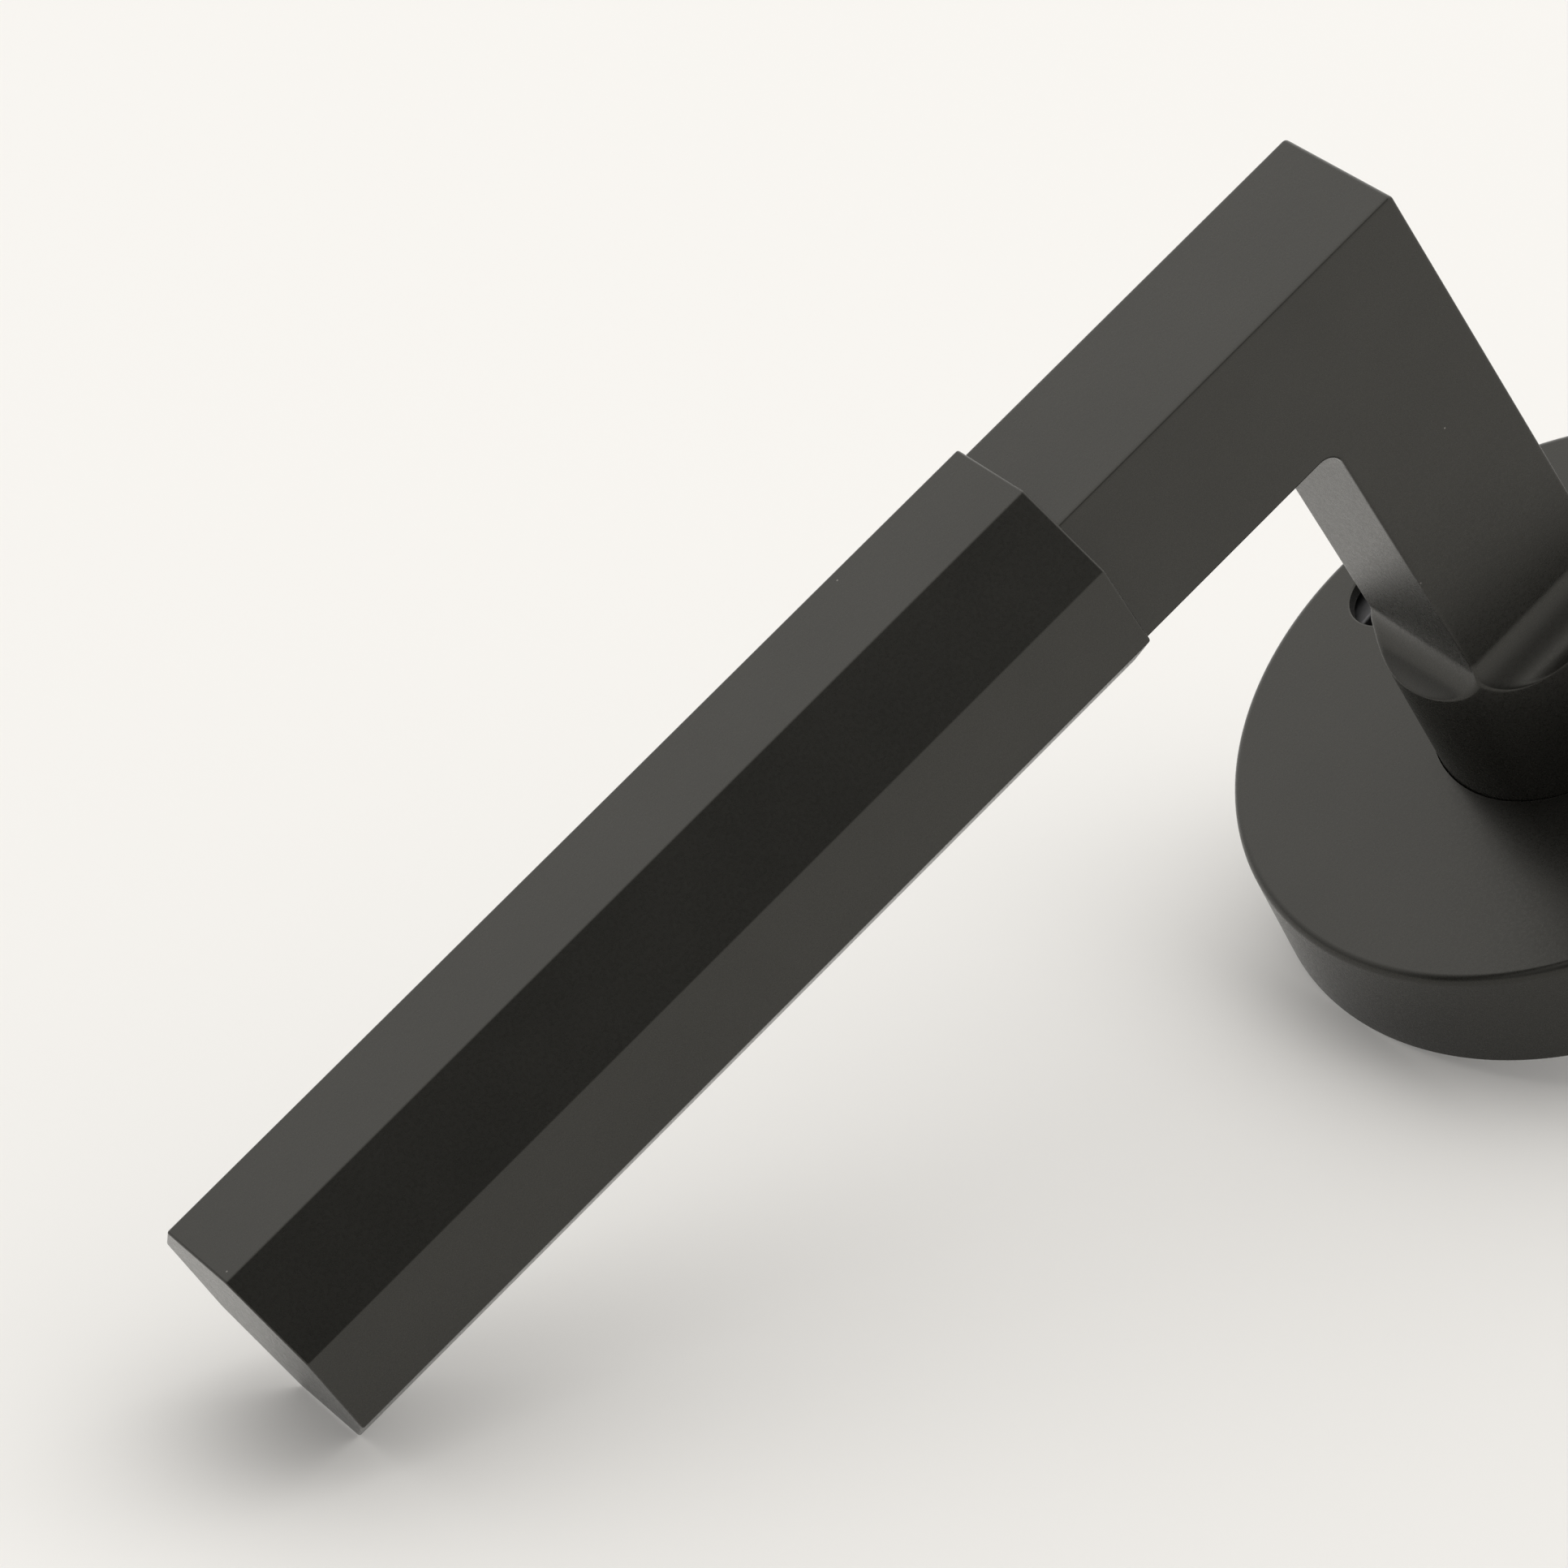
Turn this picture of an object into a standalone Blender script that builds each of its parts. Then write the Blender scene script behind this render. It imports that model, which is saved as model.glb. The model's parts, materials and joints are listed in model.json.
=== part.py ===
"""Lever handle on a round rose: one half set with its sprung cassette, spindle and through-door fixings.

The frame is the one the handle has on its door. +Z is up, -Y points out of the door towards the hand,
and the lever points to +X. The origin is on the spindle's axis, in the plane of the door's face.
Lengths are in metres. Run it with: blender --background --python part.py
"""

import math

import bmesh
import bpy
from mathutils import Matrix, Vector

# ---------------------------------------------------------------- driving dimensions

GAP = 0.0003  # between pieces that touch on the real handle
CLEARANCE = 0.0002  # round pieces that turn, slide or drop into each other

GRIP_ACROSS_FLATS = 0.0190  # the octagon
GRIP_LENGTH = 0.0778
TIP_X = 0.1047  # spindle axis to the end of the grip
NECK_DEPTH = 0.0136  # bar section, along Y
BAR_HEIGHT = 0.0122  # bar section, along Z, the same on neck and stem
STEM_WIDTH = 0.0135  # bar section of the stem, along X
INNER_CORNER_RADIUS = 0.0016
BARREL_RADIUS = 0.0100  # at the rose
BARREL_TOP_RADIUS = 0.0095  # where the stem begins
GRIP_AXIS_ABOVE_ROSE = 0.0468
RUN_OUT_START = 0.0149  # above the rose, where the stem's flats begin to run out into the barrel
RUN_OUT_RADIUS = 0.0035

ROSE_DEPTH = 0.0092
ROSE_RADIUS_FRONT = 0.0266
ROSE_RADIUS_BACK = 0.0272
ROSE_WALL = 0.0010
ROSE_EDGE_RADIUS = 0.0006
RELEASE_HOLE_RADIUS = 0.0032
RELEASE_Z = -0.0205  # the release hole, straight below the spindle

SPINDLE_SIDE = 0.0080
SPINDLE_END_Y = 0.0500
SPINDLE_IN_LEVER = 0.0340
DOOR_THICKNESS = 0.0430
BOLT_X = 0.0190  # through bolts at 38 mm centres

TANG_RADIUS = 0.0050
TANG_LENGTH = 0.0300
GRIP_EDGE_RADIUS = 0.0003
GRIP_SCREW_RADIUS = 0.00195
GRIP_SCREW_KEY = 0.0020  # hexagon key, across flats
GRIP_SCREW_SUNK = 0.0004  # below the surface it is screwed into
GRIP_SCREW_FROM_COLLAR = 0.0090
SPINDLE_SCREW_RADIUS = 0.00245
SPINDLE_SCREW_KEY = 0.0025
SPINDLE_SCREW_SUNK = 0.0005
SPINDLE_SCREW_ABOVE_ROSE = 0.0060
SOCKET_DEPTH = 0.0020

# The cassette, from the front of the rose back to the door
JOURNAL_RADIUS = 0.0078
JOURNAL_FLAT = 0.0064  # half the width across the journal's two flats
JOURNAL_END_Y = 0.0006
BUSH_FLANGE_Y = (-0.0079, -0.0072)
PLATE_Y = (-0.0069, -0.0061)
ROTOR_Y = (-0.0058, -0.0048)
BASE_FRONT_Y = -0.0076
BASE_SEAT_Y = -0.0058  # step that the cassette plate lies on
BASE_WALL_Y = (-0.0045, -0.0029)
POCKET_FLOOR_Y = -0.0010
THRUST_WASHER_Y = (-0.0026, -0.0021)
WAVE_WASHER_Y = -0.0017
WAVE_WASHER_THICK = 0.0002
WAVE_HEIGHT = 0.00012
CIRCLIP_Y = (-0.00125, -0.00035)
CIRCLIP_RADII = (0.0073, 0.0098)
CIRCLIP_GROOVE_RADIUS = 0.0070
CIRCLIP_OPENING = 28  # degrees either side of the bottom
CIRCLIP_EYE_RADIUS = 0.0006

BASE_RADIUS = 0.0250
SEAT_RADIUS = 0.0217
POCKET_RADII = (0.0129, 0.0162)
COUNTERBORE_RADIUS = 0.0113
SPRING_RADIUS = 0.01455
SPRING_WIRE = 0.0010
SPRING_PITCH = 0.0011
STOP_WIDTH = 0.0030
STOP_RADII = (0.0188, 0.0212)
LUG_REACH = 0.0183
LEG_ENDS = (0.0205, 0.0190, 0.0170)  # points up each straight leg of the spring, from its end
WINDOW_HALF_ANGLE = 52.0  # degrees either side of the top
WINDOW_OVERLAP = 0.0004  # the window's inner edge runs this far into the pocket
PLATE_BORE = 0.0095
PLATE_SCREW_ANGLES = (28.0, 152.0, 228.0, 312.0)
PLATE_SCREW_CIRCLE = 0.0189
PLATE_SCREW_RADIUS = 0.0010
PLATE_SCREW_HEAD = (0.0016, 0.0021)  # radius on top and underneath
PLATE_SCREW_HEAD_HEIGHT = 0.0009
PLATE_SCREW_END_Y = -0.0024

# Fixings through the door
BOLT_RADIUS = 0.0020
BOLT_HEAD = (0.0030, 0.0038)  # radius on top and at the side
BOLT_HEAD_Y = (-0.0060, -0.0053, -0.0036)  # top, shoulder and underside
BOLT_SHORT = 0.0025  # the bolt stops this far before the far side of the door
NUT_RADIUS = 0.0033
NUT_BORE = 0.0023
NUT_LENGTH = 0.0220
NUT_HEAD = (0.0050, 0.0044)  # radius at the door and on top
NUT_HEAD_Y = (0.0014, 0.0020)  # shoulder and top, past the door
NUT_FLOOR = 0.0020
SLOT_WIDTH = 0.0008
BOSS_RADIUS = 0.0040
BOSS_LENGTH = 0.0070
BOLT_WELL_RADIUS = 0.0043  # for the bolt's head
BOLT_WELL_Y = -0.0033

# The privacy release
RELEASE_BOSS_RADIUS = 0.0044
RELEASE_BOSS_LENGTH = 0.0090
RELEASE_FLOOR = 0.0018  # thickness of the floor at the end of the release's guide
PLUNGER_RADIUS = 0.0014
PLUNGER_HEAD = (0.0021, 0.0026)
PLUNGER_HEAD_Y = (-0.0044, -0.0040, -0.0030)
PLUNGER_END = (0.0010, 0.0246)  # radius and Y of the chamfered end
PLUNGER_CHAMFER = 0.0006
PLUNGER_GROOVE_RADIUS = 0.0010
RELEASE_CLIP_RADII = (0.0012, 0.0031)
RELEASE_CLIP_THICK = 0.0006
RELEASE_SPRING_RADIUS = 0.0022
RELEASE_SPRING_WIRE = 0.0005
RELEASE_SPRING_TURNS = 5

ROUND = 48  # segments of a large round shape
ROSE_ROUND = 72
HOLE_ROUND = 32
SMALL_ROUND = 20
NECK_TOP_Y = -(ROSE_DEPTH + GRIP_AXIS_ABOVE_ROSE + NECK_DEPTH / 2)
GRIP_AXIS_Y = -(ROSE_DEPTH + GRIP_AXIS_ABOVE_ROSE)
COLLAR_X = TIP_X - GRIP_LENGTH
GRIP_SCREW_X = COLLAR_X + GRIP_SCREW_FROM_COLLAR
SPINDLE_SCREW_Y = -(ROSE_DEPTH + SPINDLE_SCREW_ABOVE_ROSE)
CUTTER_REACH = 0.020  # how far cutters run past what they cut
STOCK = 0.002  # how far rough stock runs past a surface that is milled later

# colour, roughness, metallic
FINISHES = {
    "black_coat": ((0.014, 0.014, 0.013), 0.50, 0.0),
    "zinc_casting": ((0.42, 0.42, 0.43), 0.50, 0.9),
    "zinc_plate": ((0.62, 0.62, 0.60), 0.32, 1.0),
    "spring_steel": ((0.28, 0.28, 0.29), 0.35, 1.0),
    "nylon": ((0.80, 0.79, 0.74), 0.55, 0.0),
    "black_steel": ((0.045, 0.045, 0.045), 0.45, 0.6),
}

# ---------------------------------------------------------------- helpers


def clear_scene():
    for thing in list(bpy.data.objects):
        bpy.data.objects.remove(thing, do_unlink=True)


def finish_material(name):
    """The Principled material of that name, made on first use."""
    found = bpy.data.materials.get(name)
    if found:
        return found
    colour, roughness, metallic = FINISHES[name]
    made = bpy.data.materials.new(name)
    made.use_nodes = True
    shader = made.node_tree.nodes["Principled BSDF"]
    shader.inputs["Base Color"].default_value = (*colour, 1.0)
    shader.inputs["Roughness"].default_value = roughness
    shader.inputs["Metallic"].default_value = metallic
    made.diffuse_color = (*colour, 1.0)
    return made


def along_y(x, y, z):
    """Matrix that lays a shape made along Z down along Y, with its middle at x, y, z."""
    return Matrix.Translation((x, y, z)) @ Matrix.Rotation(math.radians(90), 4, "X")


def add_cylinder(mesh, radius, low, high, segments=SMALL_ROUND, x=0.0, z=0.0):
    """A cylinder along Y from low to high, with its axis at x, z."""
    bmesh.ops.create_cone(
        mesh,
        cap_ends=True,
        segments=segments,
        radius1=radius,
        radius2=radius,
        depth=high - low,
        matrix=along_y(x, (low + high) / 2, z),
    )


def add_upright(mesh, radius, low, high, x, y, segments=SMALL_ROUND):
    """A cylinder along Z from low to high, with its axis at x, y."""
    bmesh.ops.create_cone(
        mesh,
        cap_ends=True,
        segments=segments,
        radius1=radius,
        radius2=radius,
        depth=high - low,
        matrix=Matrix.Translation((x, y, (low + high) / 2)),
    )


def add_box(mesh, low, high):
    low, high = Vector(low), Vector(high)
    size = high - low
    scale = Matrix.Diagonal((size.x, size.y, size.z, 1.0))
    bmesh.ops.create_cube(mesh, size=1.0, matrix=Matrix.Translation((low + high) / 2) @ scale)


def add_prism(mesh, outline, low, high, place):
    """Extrudes an outline of (u, v) points from low to high; place(u, v, w) gives the 3-D point."""
    face = mesh.faces.new([mesh.verts.new(place(u, v, low)) for u, v in outline])
    made = bmesh.ops.extrude_face_region(mesh, geom=[face])["geom"]
    move = Vector(place(0, 0, high)) - Vector(place(0, 0, low))
    bmesh.ops.translate(mesh, vec=move, verts=[g for g in made if isinstance(g, bmesh.types.BMVert)])


def add_turned(mesh, profile, segments=ROUND, x=0.0, z=0.0):
    """Turns a closed outline of (radius, y) points about the line along Y through x, z."""
    verts = [mesh.verts.new((x + radius, y, z)) for radius, y in profile]
    edges = [mesh.edges.new((a, b)) for a, b in zip(verts, verts[1:] + verts[:1])]
    bmesh.ops.spin(
        mesh,
        geom=verts + edges,
        cent=(x, 0, z),
        axis=(0, 1, 0),
        angle=math.tau,
        steps=segments,
        use_merge=True,
    )
    bmesh.ops.remove_doubles(mesh, verts=mesh.verts, dist=1e-6)
    bmesh.ops.dissolve_degenerate(mesh, dist=1e-7, edges=mesh.edges)


def add_tube(mesh, points, radius, sides=6):
    """A closed round tube along a list of points."""
    rings = []
    side = None
    for n, here in enumerate(points):
        before = points[max(n - 1, 0)]
        after = points[min(n + 1, len(points) - 1)]
        forward = (after - before).normalized()
        if side is None:
            side = forward.orthogonal().normalized()
        side = (side - forward * side.dot(forward)).normalized()
        up = forward.cross(side)
        turns = [math.tau * k / sides for k in range(sides)]
        rings.append([mesh.verts.new(here + radius * (side * math.cos(t) + up * math.sin(t))) for t in turns])
    for a, b in zip(rings, rings[1:]):
        for k in range(sides):
            nxt = (k + 1) % sides
            mesh.faces.new((a[k], a[nxt], b[nxt], b[k]))
    mesh.faces.new(rings[0])
    mesh.faces.new(rings[-1])


def arc(centre, radius, start, end, steps):
    """Points (u, v) round a centre, from one angle to another in degrees."""
    angles = [math.radians(start + (end - start) * n / steps) for n in range(steps + 1)]
    return [(centre[0] + radius * math.cos(a), centre[1] + radius * math.sin(a)) for a in angles]


def regular(count, across_flats):
    """Corners of a regular polygon that stands on one of its flats."""
    corner = across_flats / 2 / math.cos(math.pi / count)
    turns = [math.tau * (n + 0.5) / count for n in range(count)]
    return [(corner * math.cos(t), corner * math.sin(t)) for t in turns]


def flatted_round(radius, flat, steps=12):
    """A circle with two flats at u = plus and minus flat."""
    reach = math.degrees(math.acos(flat / radius))
    upper = arc((0, 0), radius, reach, 180 - reach, steps)
    lower = arc((0, 0), radius, 180 + reach, 360 - reach, steps)
    return upper + lower


def on_y(u, v, w):
    """Outline in the XZ plane, extruded along Y."""
    return (u, w, v)


def on_x(u, v, w):
    """Outline in the YZ plane, extruded along X."""
    return (w, u, v)


def on_z(u, v, w):
    """Outline in the XY plane, extruded along Z."""
    return (u, v, w)


def make_object(name, mesh, finish=None, pivot=None, smooth=35):
    """Closes a bmesh into an object. A pivot is the empty that a moving piece hangs on."""
    bmesh.ops.recalc_face_normals(mesh, faces=mesh.faces)
    data = bpy.data.meshes.new(name)
    mesh.to_mesh(data)
    mesh.free()
    made = bpy.data.objects.new(name, data)
    bpy.context.scene.collection.objects.link(made)
    if finish:
        data.materials.append(finish_material(finish))
        data.shade_smooth()
        data.set_sharp_from_angle(angle=math.radians(smooth))
    if pivot:
        made.parent = pivot
        made.matrix_parent_inverse = pivot.matrix_world.inverted()
    return made


def make_pivot(name, place):
    made = bpy.data.objects.new(name, None)
    made.location = place
    bpy.context.scene.collection.objects.link(made)
    bpy.context.view_layer.update()
    return made


def combine(target, name, mesh, operation="DIFFERENCE"):
    """Cuts a bmesh out of the target, or joins it to the target, with a live Boolean."""
    tool = make_object(name, mesh)
    tool.hide_render = True
    tool.display_type = "WIRE"
    if operation == "DIFFERENCE" and target.parent:
        tool.parent = target.parent
        tool.matrix_parent_inverse = target.matrix_parent_inverse
    change = target.modifiers.new(name, "BOOLEAN")
    change.operation = operation
    change.solver = "EXACT"
    change.object = tool
    return tool


def soften(target, width, angle=30, segments=2):
    """Rounds the sharp edges a little."""
    bevel = target.modifiers.new("soft_edges", "BEVEL")
    bevel.width = width
    bevel.segments = segments
    bevel.limit_method = "ANGLE"
    bevel.angle_limit = math.radians(angle)


# ---------------------------------------------------------------- the lever


def grip_circle(radius):
    """A circle about the grip's axis, as (y, z) points."""
    turns = [math.tau * n / 32 for n in range(32)]
    return [(GRIP_AXIS_Y + radius * math.cos(t), radius * math.sin(t)) for t in turns]


def run_out(flat):
    """Outline that cuts away what lies beyond a flat, and curves outwards as it nears the rose."""
    start = -(ROSE_DEPTH + RUN_OUT_START)
    return arc((flat + RUN_OUT_RADIUS, start), RUN_OUT_RADIUS, 180, 90, 10)


def stem_cutters():
    """What is milled away beyond the stem's inner and outer flats."""
    mesh = bmesh.new()
    half = STEM_WIDTH / 2
    neck_inner = NECK_TOP_Y + NECK_DEPTH
    flat = run_out(half)
    foot = flat[-1][1]

    corner = (half + INNER_CORNER_RADIUS, neck_inner + INNER_CORNER_RADIUS)
    corner_curve = arc(corner, INNER_CORNER_RADIUS, 270, 180, 5)
    far = COLLAR_X + CUTTER_REACH
    inner = [*flat, (far, foot), (far, neck_inner), *corner_curve]
    add_prism(mesh, inner, -CUTTER_REACH, CUTTER_REACH, on_z)

    top = NECK_TOP_Y - CUTTER_REACH
    outer = [(-u, v) for u, v in flat]
    outer += [(-CUTTER_REACH, foot), (-CUTTER_REACH, top), (-half, top)]
    add_prism(mesh, outer, -CUTTER_REACH, CUTTER_REACH, on_z)
    return mesh


def side_cutters():
    """What is milled away beyond the two flat sides, which neck and stem share."""
    mesh = bmesh.new()
    half = BAR_HEIGHT / 2
    top = NECK_TOP_Y - CUTTER_REACH
    flat = run_out(half)
    outline = [*flat, (CUTTER_REACH, flat[-1][1]), (CUTTER_REACH, top), (half, top)]
    for sign in (1, -1):
        add_prism(mesh, [(v, sign * u) for u, v in outline], -CUTTER_REACH, COLLAR_X + CUTTER_REACH, on_x)
    return mesh


def lever_arm(pivot):
    """Neck, elbow, stem, round barrel and journal, with the tang that the grip slides over."""
    barrel_end = -(ROSE_DEPTH - ROSE_WALL)
    block_end = COLLAR_X - GAP
    stem_foot = -(ROSE_DEPTH + RUN_OUT_START)
    stock_top = NECK_TOP_Y + STOCK
    mesh = bmesh.new()
    profile = [
        (0.0, stock_top),
        (BARREL_TOP_RADIUS, stock_top),
        (BARREL_TOP_RADIUS, stem_foot),
        (BARREL_RADIUS, -ROSE_DEPTH),
        (BARREL_RADIUS, barrel_end),
        (0.0, barrel_end),
    ]
    add_turned(mesh, profile)
    arm = make_object("lever_arm", mesh, "black_coat", pivot)

    neck = bmesh.new()
    side = BAR_HEIGHT / 2 + STOCK
    neck_inner = NECK_TOP_Y + NECK_DEPTH + STOCK
    add_box(neck, (-BARREL_TOP_RADIUS, NECK_TOP_Y, -side), (block_end, neck_inner, side))
    combine(arm, "neck_stock", neck, "UNION")
    combine(arm, "stem_cut", stem_cutters())
    combine(arm, "side_cut", side_cutters())

    tang = bmesh.new()
    add_prism(tang, grip_circle(TANG_RADIUS), block_end - 2 * STOCK, COLLAR_X + TANG_LENGTH, on_x)
    combine(arm, "tang_stock", tang, "UNION")
    journal = bmesh.new()
    flatted_start = ROTOR_Y[0] - GAP
    add_prism(journal, flatted_round(JOURNAL_RADIUS, JOURNAL_FLAT), flatted_start, JOURNAL_END_Y, on_y)
    combine(arm, "journal_rear", journal, "UNION")
    journal_front = bmesh.new()
    add_cylinder(journal_front, JOURNAL_RADIUS, barrel_end - STOCK, flatted_start + GAP, ROUND)
    combine(arm, "journal_front", journal_front, "UNION")

    holes = bmesh.new()
    socket = SPINDLE_SIDE / 2 + GAP
    add_box(holes, (-socket, -SPINDLE_IN_LEVER - GAP, -socket), (socket, CUTTER_REACH, socket))
    combine(arm, "spindle_socket", holes)
    screw = bmesh.new()
    into_socket = 0.0015
    add_upright(screw, SPINDLE_SCREW_RADIUS + GAP, -CUTTER_REACH, into_socket - socket, 0.0, SPINDLE_SCREW_Y)
    combine(arm, "spindle_screw_hole", screw)
    groove = bmesh.new()
    low, high = CIRCLIP_Y[0] - CLEARANCE, CIRCLIP_Y[1] + CLEARANCE
    bottom, outside = CIRCLIP_GROOVE_RADIUS, CIRCLIP_RADII[1]
    add_turned(groove, [(bottom, low), (bottom, high), (outside, high), (outside, low)])
    combine(arm, "circlip_groove", groove)
    return arm


def lever_grip(pivot):
    """The octagonal sleeve, blind at the tip."""
    mesh = bmesh.new()
    outline = [(GRIP_AXIS_Y + u, v) for u, v in regular(8, GRIP_ACROSS_FLATS)]
    add_prism(mesh, outline, COLLAR_X, TIP_X, on_x)
    grip = make_object("lever_grip", mesh, "black_coat", pivot, smooth=20)
    soften(grip, GRIP_EDGE_RADIUS)
    holes = bmesh.new()
    bore_end = COLLAR_X + TANG_LENGTH + STOCK / 2
    add_prism(holes, grip_circle(TANG_RADIUS + GAP), COLLAR_X - CUTTER_REACH, bore_end, on_x)
    combine(grip, "grip_bore", holes)
    screw = bmesh.new()
    add_upright(screw, GRIP_SCREW_RADIUS + GAP, -CUTTER_REACH, STOCK - TANG_RADIUS, GRIP_SCREW_X, GRIP_AXIS_Y)
    combine(grip, "grip_screw_hole", screw)
    return grip


def grub_screw(name, radius, low, high, place, key, pivot):
    """A socket set screw along Z at place (x, y), its hexagon socket opening downwards."""
    x, y = place
    mesh = bmesh.new()
    add_upright(mesh, radius, low, high, x, y)
    screw = make_object(name, mesh, "black_steel", pivot)
    socket = bmesh.new()
    outline = [(x + u, y + v) for u, v in regular(6, key)]
    add_prism(socket, outline, low - STOCK, low + SOCKET_DEPTH, on_z)
    combine(screw, name + "_socket", socket)
    return screw


def barrel_radius(above_rose):
    """Radius of the tapered barrel at that height."""
    return BARREL_RADIUS + (BARREL_TOP_RADIUS - BARREL_RADIUS) * above_rose / RUN_OUT_START


def set_screws(pivot):
    """The screw under the grip, which bears on the tang, and the one that bears on the spindle."""
    low = GRIP_SCREW_SUNK - GRIP_ACROSS_FLATS / 2
    high = -TANG_RADIUS - CLEARANCE
    place = (GRIP_SCREW_X, GRIP_AXIS_Y)
    grub_screw("grip_set_screw", GRIP_SCREW_RADIUS, low, high, place, GRIP_SCREW_KEY, pivot)
    low = SPINDLE_SCREW_SUNK - barrel_radius(SPINDLE_SCREW_ABOVE_ROSE)
    high = -SPINDLE_SIDE / 2 - CLEARANCE
    place = (0.0, SPINDLE_SCREW_Y)
    grub_screw("spindle_set_screw", SPINDLE_SCREW_RADIUS, low, high, place, SPINDLE_SCREW_KEY, pivot)


def spindle(pivot):
    """Square bar with chamfered edges."""
    mesh = bmesh.new()
    half = SPINDLE_SIDE / 2
    add_box(mesh, (-half, -SPINDLE_IN_LEVER, -half), (half, SPINDLE_END_Y, half))
    bar = make_object("spindle", mesh, "zinc_plate", pivot)
    chamfer = 0.0005
    soften(bar, chamfer, segments=1)
    return bar


# ---------------------------------------------------------------- the rose and its cassette


def rose_cover():
    """Thin turned cap over the mounting base, with the barrel's hole and the release hole."""
    front = -ROSE_DEPTH
    edge = (ROSE_RADIUS_FRONT - ROSE_EDGE_RADIUS, front + ROSE_EDGE_RADIUS)
    profile = [
        (BARREL_RADIUS + GAP, front),
        *arc(edge, ROSE_EDGE_RADIUS, -90, 0, 3),
        (ROSE_RADIUS_BACK, 0.0),
        (ROSE_RADIUS_BACK - ROSE_WALL, 0.0),
        (ROSE_RADIUS_FRONT - ROSE_WALL, front + ROSE_WALL),
        (BARREL_RADIUS + GAP, front + ROSE_WALL),
    ]
    mesh = bmesh.new()
    add_turned(mesh, profile, ROSE_ROUND)
    cover = make_object("rose_cover", mesh, "black_coat")
    hole = bmesh.new()
    inside = front + ROSE_WALL + STOCK
    add_cylinder(hole, RELEASE_HOLE_RADIUS, front - STOCK, inside, HOLE_ROUND, z=RELEASE_Z)
    combine(cover, "release_hole", hole)
    return cover


def plate_screw_places():
    """The (x, z) of each screw of the cassette plate."""
    turns = [math.radians(angle) for angle in PLATE_SCREW_ANGLES]
    return [(PLATE_SCREW_CIRCLE * math.cos(t), PLATE_SCREW_CIRCLE * math.sin(t)) for t in turns]


def window_outline():
    """The sector that the spring's legs move in, leaving the fixed stop standing at the top."""
    half = STOP_WIDTH / 2
    inner, outer = POCKET_RADII[1] - WINDOW_OVERLAP, STOP_RADII[1]
    right = arc((0, 0), outer, 90 - WINDOW_HALF_ANGLE, 90 - math.degrees(math.asin(half / outer)), 8)
    left = [(-u, v) for u, v in reversed(right)]
    near = arc((0, 0), inner, 90 + WINDOW_HALF_ANGLE, 90 - WINDOW_HALF_ANGLE, 14)
    return [*right, (half, STOP_RADII[0]), (-half, STOP_RADII[0]), *left, *near]


def stepped_hole(wide, step_y, narrow):
    """Turned profile of a hole that is wide up to step_y and narrow behind it."""
    return [
        (0, -CUTTER_REACH),
        (wide, -CUTTER_REACH),
        (wide, step_y),
        (narrow, step_y),
        (narrow, CUTTER_REACH),
        (0, CUTTER_REACH),
    ]


def mounting_base():
    """Cast base: bearing wall, spring pocket, lugs that locate in the door, and the release guide."""
    front, seat = BASE_FRONT_Y, BASE_SEAT_Y
    bore = JOURNAL_RADIUS + GAP
    inner, outer = POCKET_RADII
    profile = [
        (bore, BASE_WALL_Y[0]),
        (inner, BASE_WALL_Y[0]),
        (inner, POCKET_FLOOR_Y),
        (outer, POCKET_FLOOR_Y),
        (outer, seat),
        (SEAT_RADIUS, seat),
        (SEAT_RADIUS, front),
        (BASE_RADIUS, front),
        (BASE_RADIUS, 0.0),
        (COUNTERBORE_RADIUS, 0.0),
        (COUNTERBORE_RADIUS, BASE_WALL_Y[1]),
        (bore, BASE_WALL_Y[1]),
    ]
    mesh = bmesh.new()
    add_turned(mesh, profile)
    base = make_object("mounting_base", mesh, "zinc_casting")

    bosses = bmesh.new()
    foot = -STOCK / 3
    for side in (-1, 1):
        add_cylinder(bosses, BOSS_RADIUS, foot, BOSS_LENGTH, x=side * BOLT_X)
    add_cylinder(bosses, RELEASE_BOSS_RADIUS, foot, RELEASE_BOSS_LENGTH, z=RELEASE_Z)
    combine(base, "base_bosses", bosses, "UNION")

    window = bmesh.new()
    add_prism(window, window_outline(), seat - STOCK, POCKET_FLOOR_Y, on_y)
    combine(base, "spring_window", window)

    holes = bmesh.new()
    for side in (-1, 1):
        profile = stepped_hole(BOLT_WELL_RADIUS, BOLT_WELL_Y, BOLT_RADIUS + GAP)
        add_turned(holes, profile, SMALL_ROUND, x=side * BOLT_X)
    floor = RELEASE_BOSS_LENGTH - RELEASE_FLOOR
    profile = stepped_hole(RELEASE_HOLE_RADIUS, floor, PLUNGER_RADIUS + 2 * CLEARANCE)
    add_turned(holes, profile, SMALL_ROUND, z=RELEASE_Z)
    bottom = PLATE_SCREW_END_Y + 2 * GAP
    for x, z in plate_screw_places():
        add_cylinder(holes, PLATE_SCREW_RADIUS + GAP, -CUTTER_REACH, bottom, x=x, z=z)
    combine(base, "base_holes", holes)
    return base


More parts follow.
